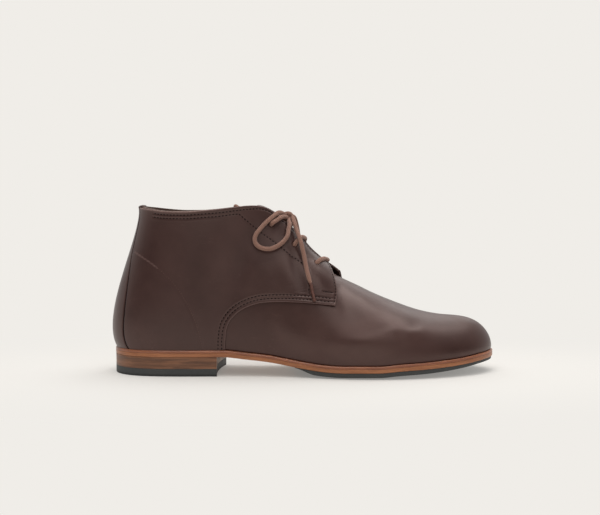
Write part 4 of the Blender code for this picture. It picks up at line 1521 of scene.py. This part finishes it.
def makeBackStrip():
    columns, rows = backStrip["columns"], backStrip["rows"]
    shares = np.linspace(0, 1, rows + 1)
    seams = {side: np.interp(shares, np.linspace(0, 1, form["rows"] + 1),
                             seamStations(side, backStrip["tuckUnder"])) for side in (-1, 1)}
    low = backStrip["standLow"] * (1 - ease(shares, *backStrip["standSpan"]))
    inner = -(upper["thick"] + backStrip["thick"])
    turn = np.linspace(0, math.pi, backStrip["rimSteps"] + 1)[1:]
    down = np.linspace(0, backStrip["inside"] / backStrip["tall"], backStrip["downSteps"] + 1)[1:]
    grid = []
    for k in range(-columns, columns + 1):
        side = -1 if k <= 0 else 1
        share = abs(k) / columns
        outer = (gap + quarter["thick"] + backStrip["stand"]
                 + rounded(backStrip["wide"] * (1 - share), backStrip["edgeRound"]))
        face = onForm(seams[side] * share, shares, side, outer + low)[0]
        # over the rim and down inside
        top = seams[side][-1] * share
        lifts = (outer + inner) / 2 + np.cos(turn) * (outer - inner) / 2
        over = onForm(0 * turn + top, 0 * turn + 1, side, lifts)[0]
        over[:, 2] += np.sin(turn) * backStrip["fold"]
        inside = onForm(0 * down + top, 1 - down, side, 0 * down + inner)[0]
        grid.append(np.vstack([face, over, inside]))
    points = np.array(grid)
    points[:, 0, 2] -= form["footSink"]
    fromMiddle = np.abs(np.linspace(-1, 1, 2 * columns + 1))[:, None] * np.ones(points.shape[1])
    mesh = gridMesh("backStrip", points, flip=True,
                    values=plainLeather((1 - fromMiddle) * 14 + 0.9))
    piece = newPiece("backStrip", mesh, leatherPiece)
    thicken(piece, backStrip["thick"])


upper = {
    "back": 36,           # columns behind the place where the quarters end
    "backEnd": 84.0,
    "front": 150,
    "rows": 96,
    "squeeze": 0.35,
    "thick": 2.0,
    "fadeSpan": (0.86, 1.0),     # folds fade towards the top edge
}


def makeUpper():
    # vamp, counter and lining as one wall
    backEnd = station(upper["backEnd"], 0.0, sole["length"])
    u = np.concatenate([np.linspace(0, backEnd, upper["back"] + 1)[:-1],
                        np.linspace(backEnd, 1, upper["front"] + 1)])
    u, t = np.meshgrid(u, squeezed(upper["rows"], upper["squeeze"]), indexing="ij")
    halves = []
    for side in (-1, 1):
        face = sample(formPoints[side], u, t)
        fold = foldHeight(face, vampFolds) * (1 - ease(t, *upper["fadeSpan"]))
        points = onForm(u, t, side, fold)[0]
        points[:, 0, 2] -= form["footSink"]
        # the fold values also carry the vamp's painted light and shade
        halves.append((points, fold + paintedShadingAt(face, vampPaintedShading)))
    # the inner half follows the outer one backwards, from the toe
    points, fold = (np.vstack([outer, inner[::-1][1:]]) for outer, inner in zip(*halves))
    mesh = gridMesh("upperWall", points, weld=0.012, values={"fold": fold})
    piece = newPiece("upperWall", mesh,
                     [vampFinish, cutEdgeFinish, liningFinish], ["upper"])
    thicken(piece, upper["thick"], rim=2)


tongue = {
    "first": 14 / 34,     # stations of its two ends
    "last": 20.16 / 34,
    "tuck": (0.5, 1.25, 2.0),    # in twelfths of the upper's height below its top edge
    "clear": 0.8,
    "normalRow": 0.97,           # above this row the sides' normals turn over the rim
    "crown": 0.11,
    "thick": 2.0,
    "stations": 80,
}


def makeTongue():
    inward = -(upper["thick"] + tongue["clear"])

    def tucked(u, down, side):
        t = 1 - down / 12
        normal = onForm(u, min(t, tongue["normalRow"]), side)[1]
        return onForm(u, t, side)[0] + normal * inward

    grid = []
    for u in np.linspace(tongue["first"], tongue["last"], tongue["stations"] + 1):
        left, right = ([tucked(u, down, side) for down in tongue["tuck"]] for side in (-1, 1))
        opening = np.linalg.norm(topPoint(u, 1) - topPoint(u, -1))
        outward = sum(onForm(u, tongue["normalRow"], side)[1] for side in (-1, 1))
        outward /= np.linalg.norm(outward)
        crown = (tucked(u, 0, -1) + tucked(u, 0, 1)) / 2 + outward * opening * tongue["crown"]
        grid.append(smoothPoints([*left[::-1], crown, *right], 6))
    points = np.array(grid)
    mesh = gridMesh("tonguePiece", points, values=plainLeather(np.full(points.shape[:2], 9.0)))
    piece = newPiece("tonguePiece", mesh, leatherPiece, ["tongue"])
    thicken(piece, tongue["thick"])


def wallSteps(slab):
    # steps down a slab's wall: how far in, from which face, and how far from it
    topRound, underRound = slab["rounds"]
    turns = [math.pi / 2 * k / 5 for k in range(6)]
    steps = [(topRound * (1 - math.sin(a)), "top", topRound * (1 - math.cos(a))) for a in turns]
    for share in np.linspace(0.12, 0.88, 9):
        dent = sum(deep * bell(share - at, wide) for at, deep, wide in slab.get("grooves", ()))
        steps.append((dent, "share", share))
    return steps + [(underRound * (1 - math.sin(a)), "under", underRound * (1 - math.cos(a)))
                    for a in turns[::-1]]


def between(first, last, count, heightAt):
    made = []
    for share in np.arange(1, count) / count:
        x, y = first[:2] * (1 - share) + last[:2] * share
        made.append(np.array([x, y, heightAt(x, y)]))
    return made


def slabGrid(slab, steps, outline, topAt, underAt):
    # at each station a closed line runs down the outer wall, along the underside, up the inner
    # wall and back over the top
    topRound, underRound = slab["rounds"]

    def height(x, y, kind, value):
        top, under = topAt(x, y), underAt(x, y)
        most = (top - under) * 0.4
        if kind == "top":
            return top - min(value, most)
        if kind == "under":
            return under + min(value, most)
        low, high = under + underRound, top - topRound
        return high + (low - high) * value if high > low else (top + under) / 2

    columns = []
    for s in np.linspace(0, 1, slab["stations"] + 1):
        walls = []
        for side in (-1, 1):
            line = []
            for inset, kind, value in steps:
                x, y = outline(s, side, inset)
                line.append(np.array([x, y, height(x, y, kind, value)]))
            walls.append(line)
        outer, inner = walls
        low = between(outer[-1], inner[-1], slab["across"], underAt)
        high = between(inner[0], outer[0], slab["across"], topAt)
        columns.append([*outer, *low, *inner[::-1], *high, outer[0]])
    return np.array(columns)


sharpAngle = 50.0      # between faces that meet in a sharp edge, in degrees


def closeEnd(mesh, loop, walls, across, slot):
    # the flat end of a slab, between its last walls
    outer = loop[:walls]
    low = loop[walls - 1: walls + across]
    inner = loop[walls + across - 1: 2 * walls + across - 1][::-1]
    high = np.vstack([loop[2 * walls + across - 2:], loop[:1]])[::-1]
    end = gridMesh("end", patch(lambda s: high, lambda s: low, lambda r: outer, lambda r: inner,
                                np.linspace(0, 1, across + 1), np.linspace(0, 1, walls)))
    end.polygons.foreach_set("material_index", np.full(len(end.polygons), slot, dtype=np.int32))
    bm = bmesh.new()
    bm.from_mesh(mesh)
    bm.from_mesh(end)
    bmesh.ops.remove_doubles(bm, verts=bm.verts, dist=weldReach * mm)
    bmesh.ops.recalc_face_normals(bm, faces=bm.faces)
    bm.to_mesh(mesh)
    bm.free()
    bpy.data.meshes.remove(end)
    mesh.shade_smooth()
    mesh.set_sharp_from_angle(angle=math.radians(sharpAngle))


def addSlab(name, replaced, finishes, slab, outline, topAt, underAt, endSlot=None):
    # the underside takes the second finish, all else the first
    steps, across = wallSteps(slab), slab["across"]
    points = slabGrid(slab, steps, outline, topAt, underAt)
    walls = len(steps)
    slots = [0] * (walls - 1) + [slab.get("underSlot", 1)] * across + [0] * (walls - 1 + across)
    mesh = gridMesh(name, points, weld=weldReach, faceSlots=slots)
    if endSlot is not None:
        closeEnd(mesh, points[-1][:-1], walls, across, endSlot)
    bm = bmesh.new()
    bm.from_mesh(mesh)
    bmesh.ops.recalc_face_normals(bm, faces=bm.faces)
    bm.to_mesh(mesh)
    bm.free()
    return newPiece(name, mesh, finishes, [replaced])


# rounds are those of the top and lower edges, grooves are share of the height, depth, width
midsole = {"stations": 260, "across": 8, "rounds": (1.1, 0.25), "overlap": 0.25}
outsole = {"stations": 260, "across": 12, "rounds": (0.25, 0.7)}
halfSole = {"stations": 180, "across": 12, "rounds": (0.15, 0.5), "thin": 0.5, "clear": 0.05}
heelStack = {
    "stations": 150, "across": 14, "rounds": (0.12, 0.12), "underSlot": 0, "clear": 0.05,
    "grooves": ((0.34, 0.16, 0.035), (0.67, 0.16, 0.035)),
}
heelTop = {"stations": 150, "across": 14, "rounds": (0.15, 0.5), "hollowStart": 40.0}
insole = {
    "stations": 120, "across": 10, "rounds": (0.9, 0.3), "margin": 3.4, "clear": 0.7, "thick": 2.6,
}


def makeLeatherSoles():
    def middle(x, y):
        return soleUnder(x, y) + sole["outsoleThick"]

    def midsoleUnder(x, y):
        return middle(x, y) + gap - midsole["overlap"]

    addSlab("midsoleEdge", "midsole", [weltFinish, weltFinish], midsole,
            insetEdge, soleTop, midsoleUnder)
    addSlab("outsoleEdge", "outsole", [soleEdgeFinish, soleFloorFinish], outsole,
            insetEdge, middle, soleUnder)


def makeForefootRubber():
    first = station(sole["halfSoleStart"], 0.0, sole["length"])
    thinned = sole["halfSoleToe"] - sole["halfSoleThick"]

    def outline(s, side, inset):
        return insetEdge(first + (1 - first) * s, side, sole["halfSoleInset"] + inset)

    def under(x, y):
        thick = sole["halfSoleThick"] + thinned * float(
            ease(x, sole["halfSoleThins"], sole["length"]))
        start = float(ease(x, sole["halfSoleStart"],
                           sole["halfSoleStart"] + sole["halfSoleTaper"]))
        return soleUnder(x, y) - halfSole["thin"] - (thick - halfSole["thin"]) * start

    def top(x, y):
        return soleUnder(x, y) - halfSole["clear"]

    addSlab("forefootRubber", "forefoot_rubber", [rubberFinish, treadFinish], halfSole,
            outline, top, under, endSlot=0)


def makeHeel():
    middle = (sole["breastLateral"] + sole["breastMedial"]) / 2

    def outline(s, side, inset):
        breast = sole["breastLateral"] if side < 0 else sole["breastMedial"]
        u = station(breast, 0.0, sole["length"]) * math.sin(math.pi / 2 * s)
        return insetEdge(u, side, sole["heelInset"] + inset)

    def hollowed(x, y):
        off = min(1.0, abs(y) / sole["breastHalfWidth"])
        deep = float(ease(x, middle - heelTop["hollowStart"], middle))
        return sole["breastHollow"] * (1 - off * off) * deep

    def flat(z):
        return lambda x, y: z

    clear = heelStack["clear"]
    lifts = addSlab("heelStack", "heel_stack", [stackFinish, breastFinish],
                    heelStack, outline, flat(sole["heelSeat"] - clear),
                    flat(sole["topPiece"] + clear), endSlot=1)
    top = addSlab("heelTopPiece", "heel_top_piece", [rubberFinish, treadFinish],
                  heelTop, outline, flat(sole["topPiece"]), flat(0.0), endSlot=0)
    for piece in (lifts, top):
        for vert in piece.data.vertices:
            x, y = vert.co.x / mm + origin[0], vert.co.y / mm + origin[1]
            vert.co.x -= hollowed(x, y) * mm


def makeInsole():
    def outline(s, side, inset):
        margin = featherInset(atStation(s, 0.0, sole["length"])) + insole["margin"]
        return insetEdge(s, side, margin + inset)

    def under(x, y):
        return soleTop(x, y) + insole["clear"]

    def top(x, y):
        return under(x, y) + insole["thick"]

    addSlab("insoleSock", "insole", [liningFinish, liningFinish], insole,
            outline, top, under)


makeLace("laceLateral", "laceTipLateral", -1, (outerStrand, outerLoop, outerEnd),
         ("lace_strand_lateral", "lace_loop_lateral", "lace_end_lateral"))
makeLace("laceMedial", "laceTipMedial", 1, (innerStrand, innerLoop, innerEnd),
         ("lace_strand_medial", "lace_loop_medial", "lace_end_medial"))
makeKnot()
makeBar("laceBarMiddle", "lace_bar_middle", eyelets[1])
makeBar("laceBarLow", "lace_bar_low", eyelets[2])
print("laces made")

rows = {-1: makeQuarter("quarterOuter", "quarter_lateral", -1),
        1: makeQuarter("quarterInner", "quarter_medial", 1)}
makeUpper()
makeBackStrip()
makeTongue()
makeInsole()
print("upper made")

for name, kind, finish in (("stitching", "dark", threadFinish),
                           ("stitchingTack", "tack", threadFinish),
                           ("stitchingCounter", "counter", tanThreadFinish)):
    lines = [(side, line) for side in (-1, 1) for line in rows[side][kind]]
    makeStitches(name, lines, finish, *stitching[kind])
print("stitching made")

makeLeatherSoles()
makeForefootRubber()
makeHeel()
print("sole unit made")


studio = {
    "backdrop": (0.871, 0.847, 0.807),
    "floorTone": (0.83, 0.813, 0.782),
    "floorSize": 30.0,
    "floorSquash": (0.5, 1.0, 1.0),
    "meltSpan": (0.02, 0.23),         # further out the floor melts into the plain background
    # the floor glows with the backdrop's colour: this share even near the shoe, which lightens its
    # shadows as painted light, and the rest further out
    "meltFirst": 0.22,
    "meltMore": 0.78,
    "skyBehind": 0.66,
    "skyFront": 0.148,
    "skyTone": (1.0, 0.98, 0.955),
    "warm": (1.0, 0.985, 0.965),
    "white": (1.0, 0.99, 0.975),
}
lights = (
    # name, place, aim, size, power, tone
    ("overhead", (0.05, -0.05, 1.5), (0.0, 0.0, 0.05), (2.0, 0.9), 17.5, "warm"),
    ("front", (0.6, -1.6, 0.7), (0.0, 0.0, 0.05), (0.9, 0.7), 0.84, "white"),
    ("frontTop", (0.1, -1.1, 1.2), (0.05, 0.0, 0.05), (1.5, 0.8), 4.2, "white"),
    ("backTop", (0.1, 1.3, 1.05), (0.05, 0.0, 0.05), (1.6, 0.7), 3.6, "warm"),
)


def makeFloor():
    bm = bmesh.new()
    bmesh.ops.create_grid(bm, x_segments=2, y_segments=2, size=studio["floorSize"])
    mesh = bpy.data.meshes.new("floor")
    bm.to_mesh(mesh)
    bm.free()
    floor = bpy.data.objects.new("floor", mesh)
    bpy.context.scene.collection.objects.link(floor)
    finish, tree, shader, place = startFinish("paleFloor")
    tone = tint(tree, studio["floorTone"], noise(tree, place, 40.0, 2.0), 0.03,
                darker(studio["floorTone"], 0.97))
    put(tree, shader, {"Base Color": tone, "Roughness": 0.9, "Specular IOR Level": 0.0})
    near = node(tree, "ShaderNodeMapping", {"Vector": place, "Scale": studio["floorSquash"]})
    away = node(tree, "ShaderNodeVectorMath", {0: near.outputs[0]}, operation="LENGTH").outputs[1]
    melt = maths(tree, "MULTIPLY_ADD", ramp(tree, away, *studio["meltSpan"]),
                 studio["meltMore"], studio["meltFirst"])
    glow = node(tree, "ShaderNodeEmission", {"Color": (*studio["backdrop"], 1.0)})
    mixed = node(tree, "ShaderNodeMixShader", {0: melt, 1: shader.outputs[0], 2: glow.outputs[0]})
    put(tree, tree.nodes["Material Output"], {"Surface": mixed.outputs[0]})
    mesh.materials.append(finish)


def addLight(name, place, aim, size, power, tone):
    data = bpy.data.lights.new(name, "AREA")
    data.shape = "RECTANGLE"
    data.size, data.size_y = size
    data.energy = power
    data.color = studio[tone]
    light = bpy.data.objects.new(name, data)
    light.location = place
    light.rotation_euler = (Vector(aim) - Vector(place)).to_track_quat("-Z", "Y").to_euler()
    light.visible_camera = False
    bpy.context.scene.collection.objects.link(light)


def makeSky():
    # the sky is bright behind the shoe and dim behind the camera, and looks even to the camera
    world = bpy.data.worlds.new("studio")
    bpy.context.scene.world = world
    world.use_nodes = True
    sky = world.node_tree
    way = sky.nodes.new("ShaderNodeTexCoord").outputs["Generated"]
    strength = maths(sky, "MULTIPLY_ADD", ramp(sky, split(sky, way)[1], -0.5, 0.5),
                     studio["skyBehind"] - studio["skyFront"], studio["skyFront"])
    light = put(sky, sky.nodes["Background"], {"Color": (*studio["skyTone"], 1.0),
                                               "Strength": strength})
    seen = node(sky, "ShaderNodeBackground", {"Color": (*studio["backdrop"], 1.0)})
    path = sky.nodes.new("ShaderNodeLightPath")
    both = node(sky, "ShaderNodeMixShader", {0: path.outputs["Is Camera Ray"],
                                             1: light.outputs[0], 2: seen.outputs[0]})
    put(sky, sky.nodes["World Output"], {"Surface": both.outputs[0]})


makeFloor()
for light in lights:
    addLight(*light)
makeSky()
bpy.context.scene.view_settings.view_transform = "Standard"
print("floor and lights set")
